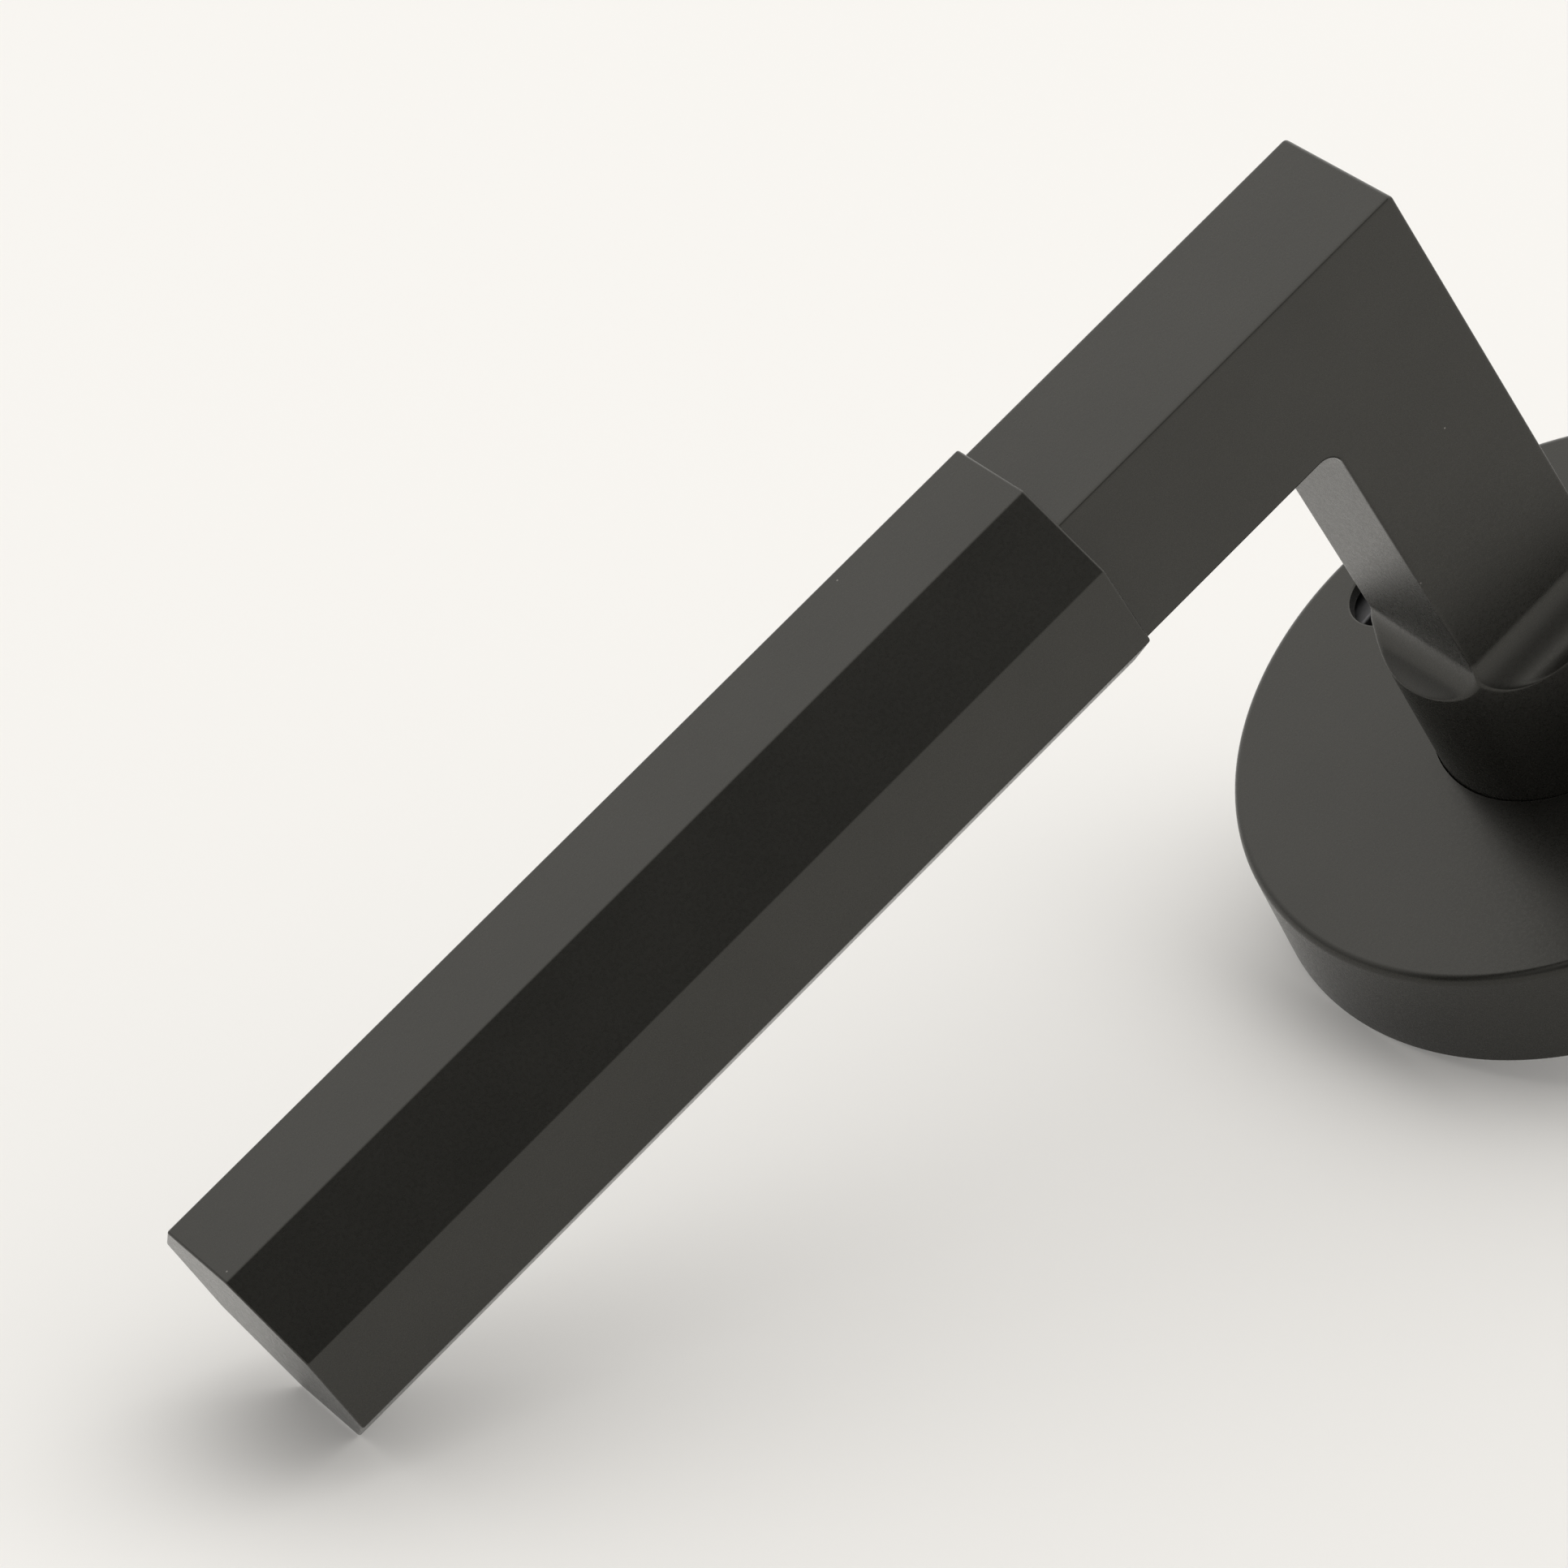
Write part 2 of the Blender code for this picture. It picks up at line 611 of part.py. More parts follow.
def cassette_plate():
    """Steel plate over the cassette, notched round the bolts and the release hole."""
    mesh = bmesh.new()
    rim = SEAT_RADIUS - GAP
    front, back = PLATE_Y
    add_turned(mesh, [(PLATE_BORE, front), (rim, front), (rim, back), (PLATE_BORE, back)])
    plate = make_object("cassette_plate", mesh, "zinc_plate")
    cuts = bmesh.new()
    for side in (-1, 1):
        add_cylinder(cuts, BOLT_WELL_RADIUS + GAP, -CUTTER_REACH, 0.0, x=side * BOLT_X)
    add_cylinder(cuts, RELEASE_HOLE_RADIUS + 3 * GAP, -CUTTER_REACH, 0.0, z=RELEASE_Z)
    for x, z in plate_screw_places():
        add_cylinder(cuts, PLATE_SCREW_RADIUS + 2 * CLEARANCE, -CUTTER_REACH, 0.0, x=x, z=z)
    combine(plate, "plate_cuts", cuts)
    return plate


def plate_screws():
    """Four small slotted screws that hold the plate to the base."""
    under = PLATE_Y[0] - CLEARANCE
    top = under - PLATE_SCREW_HEAD_HEIGHT
    profile = [
        (0, top),
        (PLATE_SCREW_HEAD[0], top),
        (PLATE_SCREW_HEAD[1], under),
        (PLATE_SCREW_RADIUS, under),
        (PLATE_SCREW_RADIUS, PLATE_SCREW_END_Y),
        (0, PLATE_SCREW_END_Y),
    ]
    half_length, half_width = 0.0012, SLOT_WIDTH / 4
    slot_floor = top + PLATE_SCREW_HEAD_HEIGHT / 2
    for n, (x, z) in enumerate(plate_screw_places()):
        mesh = bmesh.new()
        add_turned(mesh, profile, SMALL_ROUND, x=x, z=z)
        name = f"plate_screw_{n + 1}"
        screw = make_object(name, mesh, "zinc_plate")
        slot = bmesh.new()
        low = (x - half_length, top - STOCK, z - half_width)
        add_box(slot, low, (x + half_length, slot_floor, z + half_width))
        combine(screw, name + "_slot", slot)


def bearing_bush():
    """Flanged nylon bush between the lever's journal and the cassette plate."""
    bore = JOURNAL_RADIUS + CLEARANCE
    sleeve = PLATE_BORE - GAP
    flange = BARREL_RADIUS - CLEARANCE
    profile = [
        (bore, BUSH_FLANGE_Y[0]),
        (flange, BUSH_FLANGE_Y[0]),
        (flange, BUSH_FLANGE_Y[1]),
        (sleeve, BUSH_FLANGE_Y[1]),
        (sleeve, PLATE_Y[1]),
        (bore, PLATE_Y[1]),
    ]
    mesh = bmesh.new()
    add_turned(mesh, profile)
    return make_object("bearing_bush", mesh, "nylon")


def spring_rotor(pivot):
    """Steel follower keyed to the journal's flats; its lug swings the spring's legs."""
    half = STOP_WIDTH / 2
    disc = POCKET_RADII[0] - 2 * GAP
    start = math.degrees(math.asin(half / disc))
    outline = arc((0, 0), disc, 90 + start, 450 - start, 40) + [(half, LUG_REACH), (-half, LUG_REACH)]
    mesh = bmesh.new()
    add_prism(mesh, outline, ROTOR_Y[0], ROTOR_Y[1], on_y)
    rotor = make_object("spring_rotor", mesh, "spring_steel", pivot)
    lug = bmesh.new()
    thick = ROTOR_Y[1] - ROTOR_Y[0]
    low = (-half, ROTOR_Y[0] + thick / 2, POCKET_RADII[1] + GAP)
    add_box(lug, low, (half, POCKET_FLOOR_Y - GAP, LUG_REACH + CLEARANCE))
    combine(rotor, "rotor_lug", lug, "UNION")
    hole = bmesh.new()
    outline = flatted_round(JOURNAL_RADIUS + CLEARANCE, JOURNAL_FLAT + CLEARANCE)
    add_prism(hole, outline, ROTOR_Y[0] - STOCK, ROTOR_Y[1] + STOCK, on_y)
    combine(rotor, "rotor_hole", hole)
    return rotor


def return_spring():
    """Torsion spring round the hub, its two legs astride the fixed stop and the rotor's lug."""
    side = STOP_WIDTH / 2 + GAP + SPRING_WIRE / 2
    turn_in = math.degrees(math.asin(side / SPRING_RADIUS))
    first, last = 90 - turn_in, 90 + turn_in - 720
    low = POCKET_FLOOR_Y - CLEARANCE - SPRING_WIRE / 2
    turns = (first - last) / 360
    count = 64
    points = [Vector((side, low, z)) for z in LEG_ENDS]
    for n in range(count + 1):
        part = n / count
        angle = math.radians(first + (last - first) * part)
        y = low - SPRING_PITCH * turns * part
        points.append(Vector((SPRING_RADIUS * math.cos(angle), y, SPRING_RADIUS * math.sin(angle))))
    high = points[-1].y
    points += [Vector((-side, high, z)) for z in reversed(LEG_ENDS)]
    mesh = bmesh.new()
    add_tube(mesh, points, SPRING_WIRE / 2)
    return make_object("return_spring", mesh, "spring_steel", smooth=60)


def thrust_washer():
    """Flat nylon ring in the base's counterbore."""
    mesh = bmesh.new()
    low, high = THRUST_WASHER_Y
    inner, outer = JOURNAL_RADIUS + GAP, COUNTERBORE_RADIUS - GAP
    add_turned(mesh, [(inner, low), (outer, low), (outer, high), (inner, high)])
    return make_object("thrust_washer", mesh, "nylon")


def wave_washer():
    """Thin spring washer with three waves, which takes up the end play."""
    inner, outer = JOURNAL_RADIUS + GAP, COUNTERBORE_RADIUS - 2 * GAP
    low, high = WAVE_WASHER_Y - WAVE_WASHER_THICK / 2, WAVE_WASHER_Y + WAVE_WASHER_THICK / 2
    mesh = bmesh.new()
    add_turned(mesh, [(inner, low), (outer, low), (outer, high), (inner, high)])
    for vert in mesh.verts:
        vert.co.y += WAVE_HEIGHT * math.sin(3 * math.atan2(vert.co.z, vert.co.x))
    return make_object("wave_washer", mesh, "spring_steel")


def circlip(pivot):
    """External circlip in the journal's groove, with two eyed ends."""
    inner, outer = CIRCLIP_RADII
    start, end = 270 + CIRCLIP_OPENING, 630 - CIRCLIP_OPENING
    ring = arc((0, 0), outer, start, end, 40) + arc((0, 0), inner, end, start, 40)
    mesh = bmesh.new()
    add_prism(mesh, ring, CIRCLIP_Y[0], CIRCLIP_Y[1], on_y)
    clip = make_object("circlip", mesh, "spring_steel", pivot)
    eyes = bmesh.new()
    low, high = CIRCLIP_Y[0] - STOCK, CIRCLIP_Y[1] + STOCK
    middle = (inner + outer) / 2
    inset = 2 * CIRCLIP_EYE_RADIUS / middle
    for turn in (math.radians(start) + inset, math.radians(end) - inset):
        x, z = middle * math.cos(turn), middle * math.sin(turn)
        add_cylinder(eyes, CIRCLIP_EYE_RADIUS, low, high, 12, x, z)
    combine(clip, "circlip_eyes", eyes)
    return clip


# ---------------------------------------------------------------- fixings through the door


def through_bolt(name, x):
    """Pan-head machine screw from the base to the far side of the door."""
    top, shoulder, under = BOLT_HEAD_Y
    end = DOOR_THICKNESS - BOLT_SHORT
    profile = [
        (0, top),
        (BOLT_HEAD[0], top),
        (BOLT_HEAD[1], shoulder),
        (BOLT_HEAD[1], under),
        (BOLT_RADIUS, under),
        (BOLT_RADIUS, end),
        (0, end),
    ]
    mesh = bmesh.new()
    add_turned(mesh, profile, SMALL_ROUND, x=x)
    bolt = make_object(name, mesh, "zinc_plate")
    slot = bmesh.new()
    half_length, depth = 0.0022, 0.0012
    low = (x - half_length, top - STOCK, -SLOT_WIDTH / 2)
    add_box(slot, low, (x + half_length, top + depth, SLOT_WIDTH / 2))
    combine(bolt, name + "_slot", slot)
    return bolt


def sleeve_nut(name, x):
    """Sleeve nut that the bolt screws into, its flat head against the far side of the door."""
    mouth = DOOR_THICKNESS - NUT_LENGTH
    shoulder, top = (DOOR_THICKNESS + y for y in NUT_HEAD_Y)
    floor = DOOR_THICKNESS - NUT_FLOOR
    profile = [
        (NUT_BORE, mouth),
        (NUT_RADIUS, mouth),
        (NUT_RADIUS, DOOR_THICKNESS),
        (NUT_HEAD[0], DOOR_THICKNESS),
        (NUT_HEAD[0], shoulder),
        (NUT_HEAD[1], top),
        (0, top),
        (0, floor),
        (NUT_BORE, floor),
    ]
    mesh = bmesh.new()
    add_turned(mesh, profile, SMALL_ROUND, x=x)
    nut = make_object(name, mesh, "zinc_plate")
    slot = bmesh.new()
    depth, half_length = 0.0009, NUT_HEAD[0] + STOCK / 2
    low = (x - half_length, top - depth, -SLOT_WIDTH / 2)
    add_box(slot, low, (x + half_length, top + STOCK, SLOT_WIDTH / 2))
    combine(nut, name + "_slot", slot)
    return nut


# ---------------------------------------------------------------- the privacy release


def release_plunger(pivot):
    """Pin behind the hole in the rose; pushing it frees the privacy bolt in the latch."""
    face, shoulder, under = PLUNGER_HEAD_Y
    end_radius, end = PLUNGER_END
    groove = RELEASE_BOSS_LENGTH + CLEARANCE
    groove_end = groove + RELEASE_CLIP_THICK + 2 * CLEARANCE
    profile = [
        (0, face),
        (PLUNGER_HEAD[0], face),
        (PLUNGER_HEAD[1], shoulder),
        (PLUNGER_HEAD[1], under),
        (PLUNGER_RADIUS, under),
        (PLUNGER_RADIUS, groove),
        (PLUNGER_GROOVE_RADIUS, groove),
        (PLUNGER_GROOVE_RADIUS, groove_end),
        (PLUNGER_RADIUS, groove_end),
        (PLUNGER_RADIUS, end - PLUNGER_CHAMFER),
        (end_radius, end),
        (0, end),
    ]
    mesh = bmesh.new()
    add_turned(mesh, profile, SMALL_ROUND, z=RELEASE_Z)
    return make_object("release_plunger", mesh, "black_steel", pivot)


def release_clip(pivot):
    """Clip in the plunger's groove, which keeps it from coming out of the front."""
    low = RELEASE_BOSS_LENGTH + 2 * CLEARANCE
    inner, outer = RELEASE_CLIP_RADII
    start, end = 300, 600
    ring = arc((0, RELEASE_Z), outer, start, end, 20) + arc((0, RELEASE_Z), inner, end, start, 14)
    mesh = bmesh.new()
    add_prism(mesh, ring, low, low + RELEASE_CLIP_THICK, on_y)
    return make_object("release_clip", mesh, "spring_steel", pivot)


def release_spring():
    """Compression spring between the plunger's head and the floor of its guide."""
    wire, radius, turns = RELEASE_SPRING_WIRE, RELEASE_SPRING_RADIUS, RELEASE_SPRING_TURNS
    start = PLUNGER_HEAD_Y[2] + CLEARANCE + wire / 2
    end = RELEASE_BOSS_LENGTH - RELEASE_FLOOR - CLEARANCE - wire / 2
    count = turns * 10
    points = []
    for n in range(count + 1):
        part = n / count
        angle = math.tau * turns * part
        y = start + (end - start) * part
        points.append(Vector((radius * math.cos(angle), y, RELEASE_Z + radius * math.sin(angle))))
    mesh = bmesh.new()
    add_tube(mesh, points, wire / 2)
    return make_object("release_spring", mesh, "spring_steel", smooth=70)


# ---------------------------------------------------------------- the whole handle


def build():
    clear_scene()
    lever_pivot = make_pivot("lever_pivot", (0, 0, 0))
    release_pivot = make_pivot("release_pivot", (0, 0, RELEASE_Z))

    lever_arm(lever_pivot)
    lever_grip(lever_pivot)
    set_screws(lever_pivot)
    spindle(lever_pivot)
    spring_rotor(lever_pivot)
    circlip(lever_pivot)

    rose_cover()
    mounting_base()
    cassette_plate()
    plate_screws()
    bearing_bush()
    return_spring()
    thrust_washer()
    wave_washer()
    for name, x in (("left", -BOLT_X), ("right", BOLT_X)):
        through_bolt(f"through_bolt_{name}", x)
        sleeve_nut(f"sleeve_nut_{name}", x)

    release_plunger(release_pivot)
    release_clip(release_pivot)
    release_spring()


build()
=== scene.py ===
"""How the lever handle looks: fine meshes, finishes, light and camera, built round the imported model.

Places and sizes are in metres in the handle's own frame. +Z is up, -Y points out of the door towards
the hand, the lever points to +X, and the origin is on the spindle's axis in the plane of the door.
"""

import json
import math

import bmesh
import bpy
import numpy as np
from mathutils import Matrix, Vector

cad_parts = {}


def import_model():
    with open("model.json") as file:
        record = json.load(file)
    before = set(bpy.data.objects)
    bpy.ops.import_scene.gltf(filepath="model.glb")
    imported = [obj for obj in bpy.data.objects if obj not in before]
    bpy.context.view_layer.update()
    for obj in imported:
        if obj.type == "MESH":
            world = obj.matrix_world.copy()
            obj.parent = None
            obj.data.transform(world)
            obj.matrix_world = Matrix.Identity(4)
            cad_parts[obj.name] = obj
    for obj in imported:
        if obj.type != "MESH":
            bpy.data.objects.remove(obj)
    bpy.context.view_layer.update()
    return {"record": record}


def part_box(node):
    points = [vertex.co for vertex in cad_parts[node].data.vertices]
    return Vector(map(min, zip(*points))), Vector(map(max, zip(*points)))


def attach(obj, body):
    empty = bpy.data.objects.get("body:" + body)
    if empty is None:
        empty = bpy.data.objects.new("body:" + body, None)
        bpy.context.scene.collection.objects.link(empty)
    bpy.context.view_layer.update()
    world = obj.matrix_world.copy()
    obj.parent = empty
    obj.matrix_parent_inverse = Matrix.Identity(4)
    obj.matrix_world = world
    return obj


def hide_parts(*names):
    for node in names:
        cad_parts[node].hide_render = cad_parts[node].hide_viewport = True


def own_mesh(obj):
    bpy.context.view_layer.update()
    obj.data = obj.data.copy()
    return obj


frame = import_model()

MM = 0.001

# ---------------------------------------------------------------- sizes

ARM_LOW, ARM_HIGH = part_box("lever_arm")
GRIP_LOW, GRIP_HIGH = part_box("lever_grip")
ROSE_LOW, ROSE_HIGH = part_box("rose_cover")
BASE_LOW, BASE_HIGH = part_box("mounting_base")
SPINDLE_LOW, SPINDLE_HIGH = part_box("spindle")
RELEASE_LOW, RELEASE_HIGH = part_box("release_plunger")

GRIP_AXIS_Y = (GRIP_LOW.y + GRIP_HIGH.y) / 2
ACROSS_FLATS = GRIP_HIGH.z - GRIP_LOW.z
COLLAR_X = GRIP_LOW.x
NECK_END_X = COLLAR_X - 0.02 * MM
TIP_X = GRIP_HIGH.x
NECK_TOP_Y = ARM_LOW.y
NECK_DEPTH = 13.6 * MM
BAR_HEIGHT = 12.2 * MM
STEM_WIDTH = 13.5 * MM
BARREL_RADIUS = ARM_HIGH.z
BARREL_TOP_RADIUS = 9.5 * MM
RUN_OUT_START = 14.9 * MM  # above the rose
RUN_OUT_RADIUS = 3.5 * MM
INNER_CORNER = 1.6 * MM
OUTER_CORNER = 0.35 * MM
TANG_RADIUS = 5.0 * MM
TANG_END_X = ARM_HIGH.x
JOURNAL_RADIUS = 7.8 * MM
JOURNAL_FLAT = 6.4 * MM
JOURNAL_END_Y = ARM_HIGH.y
FLATTED_START_Y = -6.1 * MM
GROOVE_RADIUS = 7.0 * MM
GROOVE_Y = (-1.45 * MM, -0.15 * MM)
EDGE = 0.2 * MM  # the coat's rounding of a sharp edge
EDGE_POWER = 80  # of the rounded section, about the same rounding

ROSE_DEPTH = -ROSE_LOW.y
ROSE_FRONT_RADIUS = 26.6 * MM
ROSE_BACK_RADIUS = ROSE_HIGH.x
ROSE_WALL = 1.0 * MM
ROSE_EDGE = 0.7 * MM
RELEASE_Z = (RELEASE_LOW.z + RELEASE_HIGH.z) / 2
RELEASE_HOLE = 3.2 * MM
GAP = 0.3 * MM  # between pieces that touch on the real handle
CLEARANCE = 0.2 * MM  # round pieces that turn, slide or drop into each other
SOCKET_HALF = 4.3 * MM
SPINDLE_IN_LEVER = -SPINDLE_LOW.y

BASE_WALL_Y = (-4.5 * MM, -2.9 * MM)
BASE_SEAT_Y = -5.8 * MM  # step that the cassette plate lies on
SEAT_RADIUS = 21.7 * MM
POCKET_RADII = (12.9 * MM, 16.2 * MM)
POCKET_FLOOR_Y = -1.0 * MM
COUNTERBORE_RADIUS = 11.3 * MM
PLATE_BORE = 9.5 * MM
PLATE_SCREWS = [f"plate_screw_{n}" for n in (1, 2, 3, 4)]
PLATE_SCREW_END_Y = -2.4 * MM
PLATE_SCREW_HOLE = 1.3 * MM
STOP_WIDTH = 3.0 * MM
STOP_RADII = (18.8 * MM, 21.2 * MM)
WINDOW_HALF_ANGLE = 52.0  # degrees either side of the top
ROTOR_THICK = 1.0 * MM
SPRING_RADIUS = 14.55 * MM
SPRING_WIRE = 1.0 * MM
CIRCLIP_RADII = (7.3 * MM, 9.8 * MM)
CIRCLIP_OPENING = 28  # degrees either side of the bottom

BOLT_X = 19.0 * MM
BOLT_RADIUS = 2.0 * MM
BOLT_HEAD_UNDER_Y = -3.6 * MM
BOLT_HOLE = 2.3 * MM
BOLT_WELL_RADIUS = 4.3 * MM
BOLT_WELL_Y = -3.3 * MM
BOSS_RADIUS = 4.0 * MM
BOSS_LENGTH = 7.0 * MM
NUT_BORE = 2.3 * MM
NUT_RADIUS = 3.3 * MM
DOOR_BACK_Y = 43.0 * MM
RELEASE_BOSS_RADIUS = 4.4 * MM
RELEASE_BOSS_LENGTH = 9.0 * MM
RELEASE_FLOOR = 1.8 * MM
PLUNGER_RADIUS = 1.4 * MM

COLUMNS = 960  # points round the arm
FINE = 192  # segments round a large turned piece
HOLE_FINE = 64
THROUGH = 9 * MM  # reach of a cutter that goes through the base or the plate

# ---------------------------------------------------------------- meshes


def loft(rings, closed=False):
    """A mesh through rings of equal count; open ones get an end cap, closed ones meet again."""
    mesh = bmesh.new()
    rows = [[mesh.verts.new(point) for point in ring] for ring in rings]
    pairs = list(zip(rows, rows[1:]))
    if closed:
        pairs.append((rows[-1], rows[0]))
    for a, b in pairs:
        for k in range(len(a)):
            n = (k + 1) % len(a)
            mesh.faces.new((a[k], a[n], b[n], b[k]))
    if not closed:
        mesh.faces.new(rows[0])
        mesh.faces.new(rows[-1])
    bmesh.ops.remove_doubles(mesh, verts=mesh.verts, dist=1e-7)
    bmesh.ops.recalc_face_normals(mesh, faces=mesh.faces)
    return mesh


def turned(profile, steps=FINE, x=0.0, z=0.0, axis="Y"):
    """Turns a closed outline of (radius, height) about a line along Y through x, z, or along Z."""
    rings = []
    for n in range(steps):
        c, s = math.cos(math.tau * n / steps), math.sin(math.tau * n / steps)
        if axis == "Y":
            rings.append([Vector((x + r * c, h, z + r * s)) for r, h in profile])
        else:
            rings.append([Vector((x + r * c, z + r * s, h)) for r, h in profile])
    mesh = loft(rings, closed=True)
    bmesh.ops.dissolve_degenerate(mesh, dist=1e-8, edges=mesh.edges)
    bmesh.ops.delete(mesh, geom=[edge for edge in mesh.edges if edge.is_wire], context="EDGES")
    return mesh


def plug(radius, low, high, x=0.0, z=0.0, steps=HOLE_FINE):
    """A plain round rod along Y, for cutting."""
    return turned([(0, low), (radius, low), (radius, high), (0, high)], steps, x, z)


def arc(centre, radius, start, end, steps):
    """Points (u, v) round a centre, from one angle to another in degrees."""
    angles = [math.radians(start + (end - start) * n / steps) for n in range(steps + 1)]
    return [(centre[0] + radius * math.cos(a), centre[1] + radius * math.sin(a)) for a in angles]


def polar(radius, degrees, u=0.0, v=0.0):
    """A point at that radius and angle from a centre."""
    turn = math.radians(degrees)
    return (u + radius * math.cos(turn), v + radius * math.sin(turn))


def fillet(before, corner, after, radius, steps):
    """Points of the arc that rounds a corner between two others."""
    here = Vector(corner)
    back = (Vector(before) - here).normalized()
    on = (Vector(after) - here).normalized()
    half = back.angle(on) / 2
    centre = here + (back + on).normalized() * radius / math.sin(half)
    start = here + back * radius / math.tan(half) - centre
    end = here + on * radius / math.tan(half) - centre
    return [tuple(centre + start.slerp(end, k / steps).normalized() * radius) for k in range(steps + 1)]


def rounded(corners, radius, steps=5):
    """A closed outline with its corners rounded, but for those on the axis."""
    made = []
    for n, corner in enumerate(corners):
        if corner[0] == 0:
            made.append(corner)
        else:
            made += fillet(corners[n - 1], corner, corners[(n + 1) % len(corners)], radius, steps)
    return made


def soft(points, radius, steps=4):
    """An open outline with its inner corners rounded."""
    made = [points[0]]
    for before, corner, after in zip(points, points[1:], points[2:]):
        made += fillet(before, corner, after, radius, steps)
    return [*made, points[-1]]


def circle(radius, y, x=0.0, z=0.0, steps=48):
    turns = [math.tau * n / steps for n in range(steps)]
    return [Vector((x + radius * math.cos(t), y, z + radius * math.sin(t))) for t in turns]


def thread(radius, pitch, low, high, x, z, steps=48, per_turn=8):
    """Rings of a screw thread along Y that runs out at both ends."""
    count = round((high - low) / pitch * per_turn)
    rings = []
    for k in range(count + 1):
        y = low + (high - low) * k / count
        fade = min(1.0, (y - low) / pitch, (high - y) / pitch)
        ring = []
        for n in range(steps):
            turn = math.tau * n / steps
            tooth = abs(2 * (((y - low) / pitch - n / steps) % 1.0) - 1)
            r = radius - 0.6 * pitch * (1 - tooth) * fade
            ring.append(Vector((x + r * math.cos(turn), y, z + r * math.sin(turn))))
        rings.append(ring)
    return rings


def tube(points, radius, sides):
    """A round wire along a list of points, its ends slightly rounded."""
    rings = []
    side = None
    last = len(points) - 1
    for n, here in enumerate(points):
        forward = (points[min(n + 1, last)] - points[max(n - 1, 0)]).normalized()
        if side is None:
            side = forward.orthogonal().normalized()
        side = (side - forward * side.dot(forward)).normalized()
        up = forward.cross(side)
        turns = [math.tau * k / sides for k in range(sides)]
        ring = [side * math.cos(t) + up * math.sin(t) for t in turns]
        if n == 0:
            rings.append([here + 0.7 * radius * way for way in ring])
            here = here + 0.3 * radius * forward
        if n == last:
            here = here - 0.3 * radius * forward
        rings.append([here + radius * way for way in ring])
        if n == last:
            rings.append([points[-1] + 0.7 * radius * way for way in ring])
    return loft(rings)


def along_x(u, v, w):
    """The place of point u, v of an outline at w along X; the next two are for Y and Z."""
    return Vector((w, u, v))


def along_y(u, v, w):
    return Vector((u, w, v))


def along_z(u, v, w):
    return Vector((u, v, w))


def prism(outline, low, high, place):
    """An outline drawn out straight from low to high; place(u, v, w) is the point."""
    return loft([[place(u, v, w) for u, v in outline] for w in (low, high)])


def polygon(count, across_flats):
    """Corners of a regular polygon that stands on one of its flats."""
    corner = across_flats / 2 / math.cos(math.pi / count)
    turns = [math.tau * (n + 0.5) / count for n in range(count)]
    return [(corner * math.cos(t), corner * math.sin(t)) for t in turns]


def rectangle(half_u, half_v, u=0.0, v=0.0):
    """Outline of a rectangle round a centre."""
    signs = ((-1, -1), (1, -1), (1, 1), (-1, 1))
    return [(u + a * half_u, v + b * half_v) for a, b in signs]


def double_d(radius, flat, steps=48):
    """A circle with two flats at u = plus and minus flat."""
    reach = math.degrees(math.acos(flat / radius))
    far = arc((0, 0), radius, reach, 180 - reach, steps)
    return far + arc((0, 0), radius, 180 + reach, 360 - reach, steps)


def sector(inner, outer, start, end, steps=24):
    """Outline of a piece of a flat ring, angles in degrees."""
    return arc((0, 0), outer, start, end, steps) + arc((0, 0), inner, end, start, steps)


def bar(outline, edge, low, high, place, steps=5):
    """A straight bar of that outline from low to high with rounded end edges; place(u, v, w) is the point."""
    reach = max(math.hypot(u, v) for u, v in outline)
    rings = []
    ends = [(low + edge, -90, 0), (high - edge, 0, 90)]
    for centre, start, end in ends:
        for inward, w in arc((reach - edge, centre), edge, start, end, steps):
            rings.append([place(u * inward / reach, v * inward / reach, w) for u, v in outline])
    return loft(rings)


def make(name, mesh):
    """An object from a bmesh."""
    data = bpy.data.meshes.new(name)
    mesh.to_mesh(data)
    mesh.free()
    made = bpy.data.objects.new(name, data)
    bpy.context.scene.collection.objects.link(made)
    return made


def cut(target, tool_mesh, operation="DIFFERENCE"):
    """Cuts a mesh out of the target, or joins it to the target, and keeps the result as its mesh."""
    tool = make("tool", tool_mesh)
    change = target.modifiers.new("change", "BOOLEAN")
    change.operation = operation
    change.solver = "EXACT"
    change.object = tool
    apply_modifiers(target)
    bpy.data.objects.remove(tool)


def apply_modifiers(target):
    bpy.context.view_layer.update()
    shape = bpy.data.meshes.new_from_object(target.evaluated_get(bpy.context.evaluated_depsgraph_get()))
    target.modifiers.clear()
    target.data = shape


def bevelled(piece, width):
    """Breaks the sharp edges of a piece."""
    bevel = piece.modifiers.new("broken_edges", "BEVEL")
    bevel.width = width
    bevel.segments = 2
    bevel.limit_method = "ANGLE"
    bevel.angle_limit = math.radians(40)
    apply_modifiers(piece)


def weld(piece):
    """Merges points that a cut left on top of each other, and closes slivers it left open."""
    mesh = bmesh.new()
    mesh.from_mesh(piece.data)
    bmesh.ops.remove_doubles(mesh, verts=mesh.verts, dist=0.003 * MM)
    bmesh.ops.dissolve_degenerate(mesh, dist=0.001 * MM, edges=mesh.edges)
    bmesh.ops.holes_fill(mesh, edges=[edge for edge in mesh.edges if edge.is_boundary], sides=4)
    bmesh.ops.recalc_face_normals(mesh, faces=mesh.faces)
    mesh.to_mesh(piece.data)
    mesh.free()


def settle(piece, node, body, sharp=32):
    """Shades a finished piece, ties it to its body, and puts it in its CAD node's place and finish."""
    weld(piece)
    piece.data.materials.clear()
    piece.data.materials.append(FINISHES[SLOTS[node]])
    piece.data.shade_smooth()
    piece.data.set_sharp_from_angle(angle=math.radians(sharp))
    flat = piece.modifiers.new("even_shading", "WEIGHTED_NORMAL")
    flat.keep_sharp = True
    flat.weight = 100
    apply_modifiers(piece)
    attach(piece, body)
    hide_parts(node)


